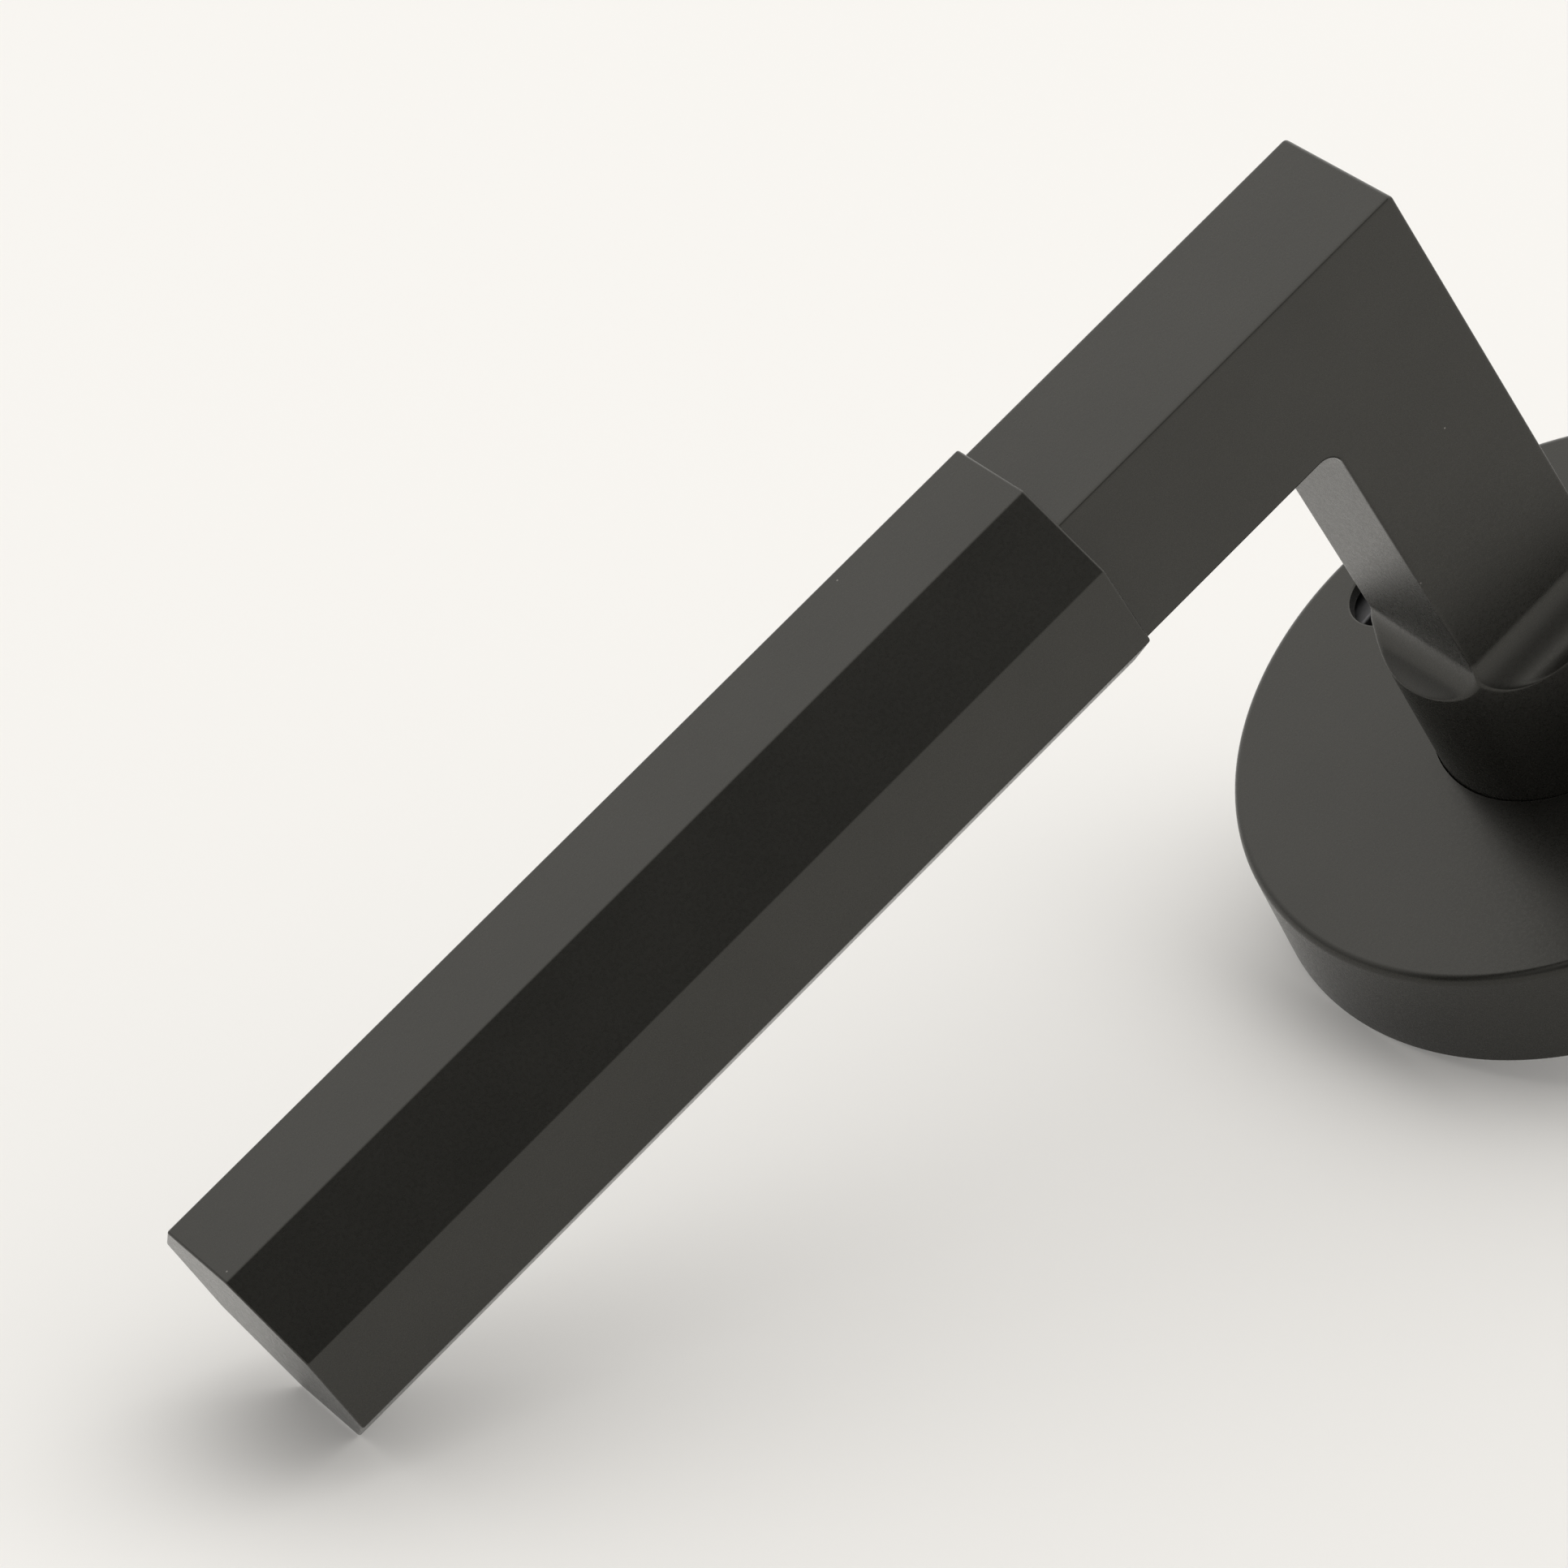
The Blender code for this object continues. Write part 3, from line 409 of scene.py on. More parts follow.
def middle_of(node):
    """The middle of a CAD node's box, and half its width along X."""
    low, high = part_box(node)
    return (low + high) / 2, (high.x - low.x) / 2


# ---------------------------------------------------------------- finishes


class Finish:
    """A material under construction: nodes are added by kind and joined by name."""

    def __init__(self, name, **values):
        self.material = bpy.data.materials.new(name)
        self.material.use_nodes = True
        self.tree = self.material.node_tree
        self.shader = self.tree.nodes["Principled BSDF"]
        for key, value in values.items():
            self.shader.inputs[key.replace("_", " ")].default_value = value
        coordinates = self.tree.nodes.new("ShaderNodeTexCoord")
        scale = self.add("ShaderNodeMapping", {"Scale": (1000, 1000, 1000)})
        self.tree.links.new(coordinates.outputs["Object"], scale.inputs["Vector"])
        self.millimetres = scale.outputs["Vector"]

    def add(self, kind, values=None, links=None, **settings):
        node = self.tree.nodes.new(kind)
        for key, value in settings.items():
            setattr(node, key, value)
        for key, value in (values or {}).items():
            node.inputs[key].default_value = value
        for key, source in (links or {}).items():
            self.tree.links.new(source, node.inputs[key])
        return node

    def noise(self, per_mm, detail=2.0, stretch=None):
        """Noise with about that many features per millimetre."""
        place = self.millimetres
        if stretch:
            place = self.add("ShaderNodeMapping", {"Scale": stretch}, {"Vector": place}).outputs["Vector"]
        values = {"Scale": per_mm, "Detail": detail}
        return self.add("ShaderNodeTexNoise", values, {"Vector": place}).outputs["Fac"]

    def spread(self, source, low, high, start=0.3, end=0.7):
        """Maps the source from start..end to low..high."""
        values = {"From Min": start, "From Max": end, "To Min": low, "To Max": high}
        return self.add("ShaderNodeMapRange", values, {"Value": source}).outputs["Result"]

    def mix(self, share, first, second):
        """A colour between two colours or sources."""
        node = self.add("ShaderNodeMix", data_type="RGBA")
        for socket, value in ((node.inputs[6], first), (node.inputs[7], second)):
            if isinstance(value, tuple):
                socket.default_value = (*value, 1.0)
            else:
                self.tree.links.new(value, socket)
        self.tree.links.new(share, node.inputs[0])
        return node.outputs[2]

    def edges(self, radius, low=0.02, high=0.25):
        """1 on edges that stand out or in by about that radius, and 0 on open faces."""
        bevel = self.add("ShaderNodeBevel", {"Radius": radius}, samples=4)
        true = self.add("ShaderNodeNewGeometry")
        links = {0: bevel.outputs["Normal"], 1: true.outputs["Normal"]}
        dot = self.add("ShaderNodeVectorMath", None, links, operation="DOT_PRODUCT")
        return self.spread(dot.outputs["Value"], 1.0, 0.0, 1 - high, 1 - low)

    def bump(self, source, height, before=None):
        values = {"Strength": 1.0, "Distance": height}
        links = {"Height": source}
        if before:
            links["Normal"] = before
        return self.add("ShaderNodeBump", values, links).outputs["Normal"]

    def set(self, key, source):
        self.tree.links.new(source, self.shader.inputs[key])


def black_coat():
    """Fine matt powder coat: orange peel, a tighter grain, faint mottling, edges made lighter as rubbed wear
    and as a painted highlight, and a little dust.
    """
    coat = Finish("black_coat", Roughness=0.5, Specular_IOR_Level=0.5, Specular_Tint=(1.0, 0.985, 0.92, 1.0))
    mottle = coat.spread(coat.noise(0.12, 3.0), 0.0, 1.0)
    colour = coat.mix(mottle, (0.0098, 0.0097, 0.0083), (0.0135, 0.0132, 0.0115))
    # Lighter sharp edges: partly rubbed wear, partly a painted highlight along the edges.
    rubbed_edge_highlight = coat.spread(coat.edges(0.25 * MM), 0.0, 0.8, 0.0, 1.0)
    colour = coat.mix(rubbed_edge_highlight, colour, (0.075, 0.071, 0.065))
    cells = coat.add("ShaderNodeTexVoronoi", {"Scale": 0.22, "Randomness": 1.0}, {"Vector": coat.millimetres})
    speck = coat.spread(cells.outputs["Distance"], 1.0, 0.0, 0.012, 0.020)
    colour = coat.mix(speck, colour, (0.20, 0.19, 0.18))
    coat.set("Base Color", colour)
    coat.set("Roughness", coat.spread(coat.noise(3.5, 3.0), 0.24, 0.32))
    peel = coat.bump(coat.noise(1.3, 2.0), 0.004 * MM)
    coat.set("Normal", coat.bump(coat.noise(7.0, 2.0), 0.0012 * MM, peel))
    return coat.material


def plated(name, dark, light, rough, stretch):
    """Worked metal: fine lines along the way it was drawn or turned, clouded plating, bright edges."""
    metal = Finish(name, Metallic=1.0, Roughness=rough)
    cloud = metal.spread(metal.noise(0.35, 4.0), 0.0, 1.0)
    colour = metal.mix(cloud, dark, light)
    bright = metal.spread(metal.edges(0.2 * MM), 0.0, 0.6, 0.0, 1.0)
    metal.set("Base Color", metal.mix(bright, colour, tuple(min(1.0, 1.25 * c) for c in light)))
    lines = metal.noise(2.5, 5.0, stretch)
    metal.set("Roughness", metal.spread(lines, rough - 0.09, rough + 0.09))
    metal.set("Normal", metal.bump(lines, 0.0025 * MM))
    return metal.material


def cast_zinc():
    """Die-cast zinc: dull, slightly grainy skin with cold-flow clouds."""
    metal = Finish("zinc_casting", Metallic=1.0, Roughness=0.5)
    cloud = metal.spread(metal.noise(0.25, 5.0), 0.0, 1.0)
    colour = metal.mix(cloud, (0.085, 0.085, 0.088), (0.14, 0.14, 0.145))
    worn = metal.spread(metal.edges(0.25 * MM), 0.0, 0.5, 0.0, 1.0)
    metal.set("Base Color", metal.mix(worn, colour, (0.34, 0.34, 0.35)))
    metal.set("Roughness", metal.spread(metal.noise(1.2, 4.0), 0.42, 0.60))
    metal.set("Normal", metal.bump(metal.noise(3.0, 5.0), 0.010 * MM))
    return metal.material


def nylon():
    """Moulded natural nylon, a little translucent and faintly clouded."""
    plastic = Finish("nylon", Roughness=0.5, Subsurface_Weight=0.15, Subsurface_Scale=0.001)
    cloud = plastic.spread(plastic.noise(0.3, 3.0), 0.0, 1.0)
    plastic.set("Base Color", plastic.mix(cloud, (0.74, 0.73, 0.67), (0.84, 0.83, 0.78)))
    plastic.set("Roughness", plastic.spread(plastic.noise(4.0, 2.0), 0.45, 0.6))
    plastic.set("Normal", plastic.bump(plastic.noise(5.0, 2.0), 0.002 * MM))
    return plastic.material


FINISHES = {
    "black_coat": black_coat(),
    "zinc_plate": plated("zinc_plate", (0.50, 0.50, 0.49), (0.66, 0.66, 0.65), 0.28, (1.0, 0.04, 1.0)),
    "spring_steel": plated("spring_steel", (0.22, 0.22, 0.23), (0.33, 0.33, 0.34), 0.33, (1.0, 0.3, 1.0)),
    "black_steel": plated("black_steel", (0.020, 0.020, 0.021), (0.045, 0.045, 0.047), 0.42, (1.0, 1.0, 0.2)),
    "zinc_casting": cast_zinc(),
    "nylon": nylon(),
}
SLOTS = {entry["node"]: entry["material_slot"] for entry in frame["record"]["subparts"]}


# ---------------------------------------------------------------- the lever


def section(half_width, half_height, radius):
    """Radii round a bar: a circle with flats cut on it, its ridges softened."""
    turns = math.tau * np.arange(COLUMNS) / COLUMNS
    width, height = abs(np.cos(turns)) / half_width, abs(np.sin(turns)) / half_height
    terms = np.array([width, height, np.full(COLUMNS, 1 / radius)])
    top = terms.max(axis=0)
    return turns, 1 / (top * ((terms / top) ** EDGE_POWER).sum(axis=0) ** (1 / EDGE_POWER))


def upright_ring(y, half_width, half_height, radius):
    """A ring of that section round the spindle's axis."""
    turns, reach = section(half_width, half_height, radius)
    return [Vector((r * math.cos(t), y, r * math.sin(t))) for t, r in zip(turns, reach)]


def journal_rings():
    """From the end of the journal to the foot of the barrel."""
    wide = 1.0  # so wide that it cuts no flat
    ease = 0.25 * MM
    steps = [
        (JOURNAL_END_Y, JOURNAL_FLAT - ease, JOURNAL_RADIUS - ease),
        (JOURNAL_END_Y - ease, JOURNAL_FLAT, JOURNAL_RADIUS),
        (GROOVE_Y[1], JOURNAL_FLAT, JOURNAL_RADIUS),
        (GROOVE_Y[1], JOURNAL_FLAT, GROOVE_RADIUS),
        (GROOVE_Y[0], JOURNAL_FLAT, GROOVE_RADIUS),
        (GROOVE_Y[0], JOURNAL_FLAT, JOURNAL_RADIUS),
        (FLATTED_START_Y, JOURNAL_FLAT, JOURNAL_RADIUS),
        (FLATTED_START_Y, wide, JOURNAL_RADIUS),
        (ROSE_WALL - ROSE_DEPTH, wide, JOURNAL_RADIUS),
        (ROSE_WALL - ROSE_DEPTH, wide, BARREL_RADIUS - EDGE),
        (ROSE_WALL - ROSE_DEPTH - EDGE, wide, BARREL_RADIUS),
    ]
    return [upright_ring(y, width, wide, radius) for y, width, radius in steps]


def stem_rings():
    """Up the barrel, over the run-out of the four flats and up the stem to below the elbow.

    Each flat leaves the barrel in a quarter of an arc. The first ring, at its foot, is still round.
    """
    start = -(ROSE_DEPTH + RUN_OUT_START)
    count = 64
    rings = []
    for n in range(count + 1):
        angle = math.pi / 2 * (1 - n / count)
        out = RUN_OUT_RADIUS * (1 - math.cos(angle)) if n else BARREL_RADIUS
        y = start + RUN_OUT_RADIUS * math.sin(angle)
        above_rose = -ROSE_DEPTH - y
        taper = (BARREL_TOP_RADIUS - BARREL_RADIUS) * above_rose / RUN_OUT_START
        radius = BARREL_RADIUS + taper
        rings.append(upright_ring(y, STEM_WIDTH / 2 + out, BAR_HEIGHT / 2 + out, radius))
    below_elbow = NECK_TOP_Y + NECK_DEPTH + 2 * INNER_CORNER
    rings.append(upright_ring(below_elbow, STEM_WIDTH / 2, BAR_HEIGHT / 2, BARREL_TOP_RADIUS))
    return rings


def elbow_rings():
    """Round the elbow, where each line of the stem turns into the neck with its own corner radius."""
    turns, reach = section(STEM_WIDTH / 2, BAR_HEIGHT / 2, BARREL_TOP_RADIUS)
    x, z = reach * np.cos(turns), reach * np.sin(turns)
    from_inner = (STEM_WIDTH / 2 - x) / STEM_WIDTH
    corner_y = NECK_TOP_Y + NECK_DEPTH * (1 - from_inner)
    radius = INNER_CORNER + (OUTER_CORNER - INNER_CORNER) * from_inner
    count = 14
    rings = []
    for n in range(count + 1):
        angle = math.radians(180 + 90 * n / count)
        px = x + radius * (1 + math.cos(angle))
        py = corner_y + radius * (1 + math.sin(angle))
        rings.append([Vector(point) for point in zip(px, py, z)])
    rings.append([Vector((NECK_END_X, py, pz)) for py, pz in zip(corner_y, z)])
    return rings


def tang_rings():
    """The round tang inside the grip."""
    ease = 0.4 * MM
    rings = []
    turns = math.tau * np.arange(COLUMNS) / COLUMNS
    places = ((NECK_END_X, 0), (TANG_END_X - ease, 0), (TANG_END_X, ease))
    for x, inset in places:
        r = TANG_RADIUS - inset
        rings.append([Vector((x, GRIP_AXIS_Y + r * math.cos(t), r * math.sin(t))) for t in turns])
    return rings


def screw_hole(node, low, high):
    """Cutter for a set screw's upright hole, which opens downwards at low with a broken edge."""
    middle, radius = middle_of(node)
    hole = radius + 0.1 * MM
    edge = 0.25 * MM
    below = 2 * MM
    profile = [(0, low - below), (hole + edge + below, low - below)]
    profile += [(hole, low + edge), (hole, high), (0, high)]
    return turned(profile, HOLE_FINE, middle.x, middle.y, axis="Z")


def lever_arm():
    """Neck, elbow, stem, barrel, journal and tang in one casting."""
    arm = make("lever_arm_casting", loft(journal_rings() + stem_rings() + elbow_rings() + tang_rings()))
    outline = rounded(polygon(4, 2 * SOCKET_HALF), 0.3 * MM)
    cut(arm, bar(outline, 0.2 * MM, -SPINDLE_IN_LEVER - GAP, 5 * MM, along_y))
    cut(arm, screw_hole("spindle_set_screw", -BARREL_RADIUS, -SOCKET_HALF + MM))
    settle(arm, "lever_arm", "lever")


def lever_grip():
    """Octagonal sleeve with a round bore for the tang."""
    outline = rounded(polygon(8, ACROSS_FLATS), 0.25 * MM)
    grip = make("grip_sleeve", bar(outline, EDGE, COLLAR_X, TIP_X, along_x))
    grip.data.transform(Matrix.Translation((0, GRIP_AXIS_Y, 0)))
    bore = rounded(polygon(HOLE_FINE, 2 * TANG_RADIUS + 0.4 * MM), 0.05 * MM, 1)
    tool = bar(bore, 0.2 * MM, COLLAR_X - 2 * MM, TANG_END_X + MM, along_x)
    bmesh.ops.translate(tool, vec=(0, GRIP_AXIS_Y, 0), verts=tool.verts)
    cut(grip, tool)
    cut(grip, screw_hole("grip_set_screw", GRIP_LOW.z, -TANG_RADIUS + MM))
    settle(grip, "lever_grip", "lever")


def set_screw(node, name):
    """Set screw with a hexagon socket and broken edges."""
    low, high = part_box(node)
    middle, radius = middle_of(node)
    edge = 0.3 * MM
    profile = [(0, low.z), (radius - edge, low.z), (radius, low.z + edge), (radius, high.z - edge)]
    profile += [(radius - edge, high.z), (0, high.z)]
    screw = make(name, turned(profile, HOLE_FINE, middle.x, middle.y, axis="Z"))
    key = bar(rounded(polygon(6, radius), 0.05 * MM, 2), 0.05 * MM, low.z - 2 * MM, low.z + 2 * MM, along_z)
    bmesh.ops.translate(key, vec=(middle.x, middle.y, 0), verts=key.verts)
    cut(screw, key)
    settle(screw, node, "lever")


def spindle_bar():
    """Drawn square bar with softened ends."""
    outline = rounded(polygon(4, SPINDLE_HIGH.x - SPINDLE_LOW.x), 0.55 * MM, 4)
    piece = make("square_spindle", bar(outline, 0.6 * MM, SPINDLE_LOW.y, SPINDLE_HIGH.y, along_y, 3))
    settle(piece, "spindle", "lever")


# ---------------------------------------------------------------- the rose and its base


def rose():
    """Turned cap with a tapered rim and a small hole over the release."""
    front = -ROSE_DEPTH
    hole = BARREL_RADIUS + 0.05 * MM
    small = 0.05 * MM
    profile = [
        (hole, front + ROSE_WALL),
        *arc((hole + small, front + small), small, 180, 270, 4),
        *arc((ROSE_FRONT_RADIUS - ROSE_EDGE, front + ROSE_EDGE), ROSE_EDGE, -90, 0, 10),
        *arc((ROSE_BACK_RADIUS - small, -small), small, 0, 90, 4),
        (ROSE_BACK_RADIUS - ROSE_WALL, 0.0),
        (ROSE_FRONT_RADIUS - ROSE_WALL, front + ROSE_WALL),
    ]
    cover = make("rose_cap", turned(profile, 256))
    edge = 0.2 * MM
    tool = [(0, front - MM), (RELEASE_HOLE + edge + MM, front - MM)]
    tool += arc((RELEASE_HOLE + edge, front + edge), edge, 270, 180, 5)
    tool += [(RELEASE_HOLE, front + 3 * MM), (0, front + 3 * MM)]
    cut(cover, turned(tool, 96, 0.0, RELEASE_Z))
    settle(cover, "rose_cover", "root")


def turned_piece(name, node, profile, body, z=0.0, steps=FINE):
    """A turned part that stands for a CAD node."""
    settle(make(name, turned(profile, steps, 0.0, z)), node, body)


def plate_screw_places():
    middles = [middle_of(node)[0] for node in PLATE_SCREWS]
    return [(middle.x, middle.z) for middle in middles]


def spring_window():
    """Window for the rotor's lug and the spring's legs, round the stop that stands at its top."""
    half = STOP_WIDTH / 2
    outer, inner = STOP_RADII[1], POCKET_RADII[1] - 0.4 * MM
    lean = 90 - math.degrees(math.asin(half / outer))
    right = arc((0, 0), outer, 90 - WINDOW_HALF_ANGLE, lean, 20)
    left = [(-u, v) for u, v in reversed(right)]
    near = arc((0, 0), inner, 90 + WINDOW_HALF_ANGLE, 90 - WINDOW_HALF_ANGLE, 40)
    return [*right, (half, STOP_RADII[0]), (-half, STOP_RADII[0]), *left, *near]


def hole_cutter(radius, low, high, x, z, edge=0.25 * MM):
    """Cutter for a hole along Y from low to high whose mouth at low has a broken edge."""
    profile = [(0, low - MM), (radius + edge + MM, low - MM), (radius, low + edge), (radius, high), (0, high)]
    return turned(profile, HOLE_FINE, x, z)


def boss(radius, high, x, z):
    """Round boss that stands on the back of the base, with a fillet at its foot."""
    foot, edge = 0.6 * MM, 0.35 * MM
    profile = [(0, -0.5 * MM), (radius + foot, -0.5 * MM), (radius + foot, 0)]
    profile += arc((radius + foot, foot), foot, 270, 180, 6)
    profile += arc((radius - edge, high - edge), edge, 0, 90, 5)
    profile += [(0, high)]
    return turned(profile, HOLE_FINE, x, z)


def base_profile():
    """Half section of the base: bearing wall, spring pocket, seat for the plate, and counterbore."""
    bore = JOURNAL_RADIUS + GAP
    inner, outer = POCKET_RADII
    front, back = BASE_LOW.y, 0.0
    corners = [
        (bore, BASE_WALL_Y[0]),
        (inner, BASE_WALL_Y[0]),
        (inner, POCKET_FLOOR_Y),
        (outer, POCKET_FLOOR_Y),
        (outer, BASE_SEAT_Y),
        (SEAT_RADIUS, BASE_SEAT_Y),
        (SEAT_RADIUS, front),
        (BASE_HIGH.x, front),
        (BASE_HIGH.x, back),
        (COUNTERBORE_RADIUS, back),
        (COUNTERBORE_RADIUS, BASE_WALL_Y[1]),
        (bore, BASE_WALL_Y[1]),
    ]
    return rounded(corners, 0.25 * MM, 4)


def drill_base(base):
    """Holes for the bolts, the release and the plate's screws."""
    for x in (-BOLT_X, BOLT_X):
        cut(base, hole_cutter(BOLT_WELL_RADIUS, BASE_SEAT_Y, BOLT_WELL_Y, x, 0))
        cut(base, plug(BOLT_HOLE, -THROUGH, THROUGH, x))
    cut(base, hole_cutter(RELEASE_HOLE, BASE_SEAT_Y, RELEASE_BOSS_LENGTH - RELEASE_FLOOR, 0, RELEASE_Z))
    cut(base, plug(PLUNGER_RADIUS + 2 * CLEARANCE, 0, RELEASE_BOSS_LENGTH + 3 * MM, 0, RELEASE_Z))
    for x, z in plate_screw_places():
        cut(base, hole_cutter(PLATE_SCREW_HOLE, BASE_SEAT_Y, PLATE_SCREW_END_Y + 2 * GAP, x, z, 0.1 * MM))


def mark_base(base):
    """Cored hollows and round ejector marks in the back; the angles are in degrees."""
    core_depth, core_sweep = 1.2 * MM, 48
    for start in (200, 292):
        hollow = sector(SEAT_RADIUS - 4.4 * MM, SEAT_RADIUS + 1.5 * MM, start, start + core_sweep)
        cut(base, prism(hollow, -core_depth, MM, along_y))
    mark_circle, mark, mark_depth = 22.9 * MM, 1.3 * MM, 0.12 * MM
    profile = [(0, -mark_depth), (mark, -mark_depth), (mark + 0.1 * MM, MM), (0, MM)]
    for angle in (45, 90, 135, 250, 290):
        x, z = polar(mark_circle, angle)
        cut(base, turned(profile, 40, x, z))


def mounting_base():
    """Die-cast base, drilled and marked."""
    base = make("base_casting", turned(base_profile()))
    for x in (-BOLT_X, BOLT_X):
        cut(base, boss(BOSS_RADIUS, BOSS_LENGTH, x, 0), "UNION")
    cut(base, boss(RELEASE_BOSS_RADIUS, RELEASE_BOSS_LENGTH, 0, RELEASE_Z), "UNION")
    cut(base, prism(spring_window(), BASE_SEAT_Y - 2 * MM, POCKET_FLOOR_Y + 0.01 * MM, along_y))
    drill_base(base)
    mark_base(base)
    settle(base, "mounting_base", "root", 28)


def cassette_plate():
    """Pressed steel plate, notched round the bolts and the release."""
    low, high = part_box("cassette_plate")
    rim, front, back = high.x, low.y, high.y
    profile = rounded([(PLATE_BORE, front), (rim, front), (rim, back), (PLATE_BORE, back)], 0.12 * MM, 3)
    plate = make("cassette_cover", turned(profile))
    for x in (-BOLT_X, BOLT_X):
        cut(plate, plug(BOLT_WELL_RADIUS + GAP, -THROUGH, 0, x, 0, 96))
    cut(plate, plug(RELEASE_HOLE + 3 * GAP, -THROUGH, 0, 0, RELEASE_Z, 96))
    for x, z in plate_screw_places():
        cut(plate, plug(PLATE_SCREW_HOLE + 0.1 * MM, -THROUGH, 0, x, z, 40))
    settle(plate, "cassette_plate", "root", 28)


def machine_screw(name, node, chamfer, under, radius, pitch, plain, slot_width, slot_depth):
    """Slotted screw along Y: a softened head, a plain neck, a thread and a pointed start."""
    low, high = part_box(node)
    place, head = middle_of(node)
    points = [(head / 4, low.y), (head - chamfer, low.y), (head, low.y + chamfer), (head, under)]
    points += [(radius, under), (radius, under + plain + 0.1 * MM)]
    rings = [circle(r, y, place.x, place.z) for r, y in soft(points, 0.12 * MM)]
    rings += thread(radius, pitch, under + plain + 0.2 * MM, high.y - 0.4 * MM, place.x, place.z)
    for r, y in ((radius, high.y - 0.35 * MM), (0.75 * radius, high.y)):
        rings.append(circle(r, y, place.x, place.z))
    screw = make(name, loft(rings))
    slot = rectangle(1.5 * head, slot_width / 2, place.x, place.z)
    cut(screw, prism(slot, low.y - MM, low.y + slot_depth, along_y))
    settle(screw, node, "root", 28)


def bearing_bush():
    """Flanged nylon bush between the journal and the cassette."""
    low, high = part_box("bearing_bush")
    bore = JOURNAL_RADIUS + CLEARANCE
    sleeve = PLATE_BORE - GAP
    shoulder = low.y + 0.7 * MM
    profile = [(bore, low.y), (high.x, low.y), (high.x, shoulder)]
    profile += [(sleeve, shoulder), (sleeve, high.y), (bore, high.y)]
    turned_piece("bearing_bush_ring", "bearing_bush", rounded(profile, 0.12 * MM, 3), "root")


def thrust_washer():
    """Flat nylon washer behind the base."""
    low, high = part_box("thrust_washer")
    bore = JOURNAL_RADIUS + GAP
    profile = [(bore, low.y), (high.x, low.y), (high.x, high.y), (bore, high.y)]
    turned_piece("nylon_thrust_washer", "thrust_washer", rounded(profile, 0.1 * MM, 3), "root")


def wave_washer():
    """Thin spring ring with three waves."""
    low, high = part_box("wave_washer")
    bore, thick = JOURNAL_RADIUS + GAP, 0.2 * MM
    middle = (low.y + high.y) / 2
    height = (high.y - low.y - thick) / 2
    ends = (middle - thick / 2, middle + thick / 2)
    profile = [(bore, ends[0]), (high.x, ends[0]), (high.x, ends[1]), (bore, ends[1])]
    mesh = turned(rounded(profile, 0.06 * MM, 2))
    for vert in mesh.verts:
        vert.co.y += height * math.sin(3 * math.atan2(vert.co.z, vert.co.x))
    settle(make("waved_spring_washer", mesh), "wave_washer", "root")


def spring_rotor():
    """Pressed follower keyed to the journal's flats, with its lug bent back between the spring's legs."""
    low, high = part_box("spring_rotor")
    disc = -low.x
    half = STOP_WIDTH / 2
    lean = math.degrees(math.asin(half / disc))
    front, back = low.y, low.y + ROTOR_THICK
    outline = arc((0, 0), disc, 90 + lean, 450 - lean, 120) + [(half, high.z), (-half, high.z)]
    rotor = make("keyed_follower", prism(outline, front, back, along_y))
    inside = POCKET_RADII[1] + GAP
    lug = rectangle(half, (high.z - inside) / 2, 0, (high.z + inside) / 2)
    cut(rotor, prism(lug, front + 0.3 * MM, high.y, along_y), "UNION")
    keyhole = double_d(JOURNAL_RADIUS + CLEARANCE, JOURNAL_FLAT + CLEARANCE)
    cut(rotor, prism(keyhole, front - MM, back + MM, along_y))
    bevelled(rotor, 0.1 * MM)
    settle(rotor, "spring_rotor", "lever")


def circlip():
    """External circlip: widest opposite its mouth, with an eye in each end."""
    low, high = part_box("circlip")
    inner, outer = CIRCLIP_RADII
    waist = 0.7 * MM
    start, end = 270 + CIRCLIP_OPENING, 630 - CIRCLIP_OPENING
    lug, eye = 13, 6.5  # degrees along the ring: length of an end's lug, and where its eye is
    outline = []
    steps = 120
    for n in range(steps + 1):
        turn = start + (end - start) * n / steps
        from_end = min(turn - start, end - turn)
        share = math.sin(math.pi * (turn - start) / (end - start))
        slim = outer - waist * (1 - share)
        ear = 0.5 + 0.5 * math.cos(math.pi * min(from_end / lug, 1.0))
        outline.append(polar(slim + (outer - slim) * min(1.0, 1.6 * ear), turn))
    outline += arc((0, 0), inner, end, start, steps)
    clip = make("journal_circlip", prism(outline, low.y, high.y, along_y))
    middle = (inner + outer) / 2
    for turn in (start + eye, end - eye):
        u, v = polar(middle, turn)
        cut(clip, plug(0.6 * MM, low.y - MM, high.y + MM, u, v, 32))
    bevelled(clip, 0.08 * MM)
    settle(clip, "circlip", "lever")


def return_spring():
    """Two turns of round wire whose legs leave the coil in tight bends and stand astride stop and lug."""
    low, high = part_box("return_spring")
    wire = SPRING_WIRE / 2
    side = STOP_WIDTH / 2 + GAP + wire
    turn_in = math.degrees(math.asin(side / SPRING_RADIUS))
    bend = 9.0  # degrees of the coil taken by each bend
    first, last = 90 - turn_in - bend, 90 + turn_in - 720 + bend
    near, far = high.y - wire, low.y + wire
    coil = []
    steps = 240
    for n in range(steps + 1):
        part = n / steps
        u, v = polar(SPRING_RADIUS, first + (last - first) * part)
        coil.append(Vector((u, near + (far - near) * part, v)))
    start_leg = leg(Vector((side, near, high.z)), coil[0])
    end_leg = leg(Vector((-side, far, high.z)), coil[-1])
    spring = make("torsion_return_spring", tube([*start_leg, *coil[1:-1], *reversed(end_leg)], wire, 16))
    settle(spring, "return_spring", "root", 60)


def leg(tip, joins):
    """Points down a straight leg and round its bend to where the coil begins."""
    corner = Vector((tip.x, tip.y, math.sqrt(SPRING_RADIUS**2 - tip.x**2)))
    straight_end = Vector((tip.x, tip.y, corner.z + 1.6 * MM))
    points = [tip.lerp(straight_end, n / 6) for n in range(6)]
    for n in range(13):
        t = n / 12
        points.append((1 - t) ** 2 * straight_end + 2 * t * (1 - t) * corner + t * t * joins)
    return points


# ---------------------------------------------------------------- fixings through the door


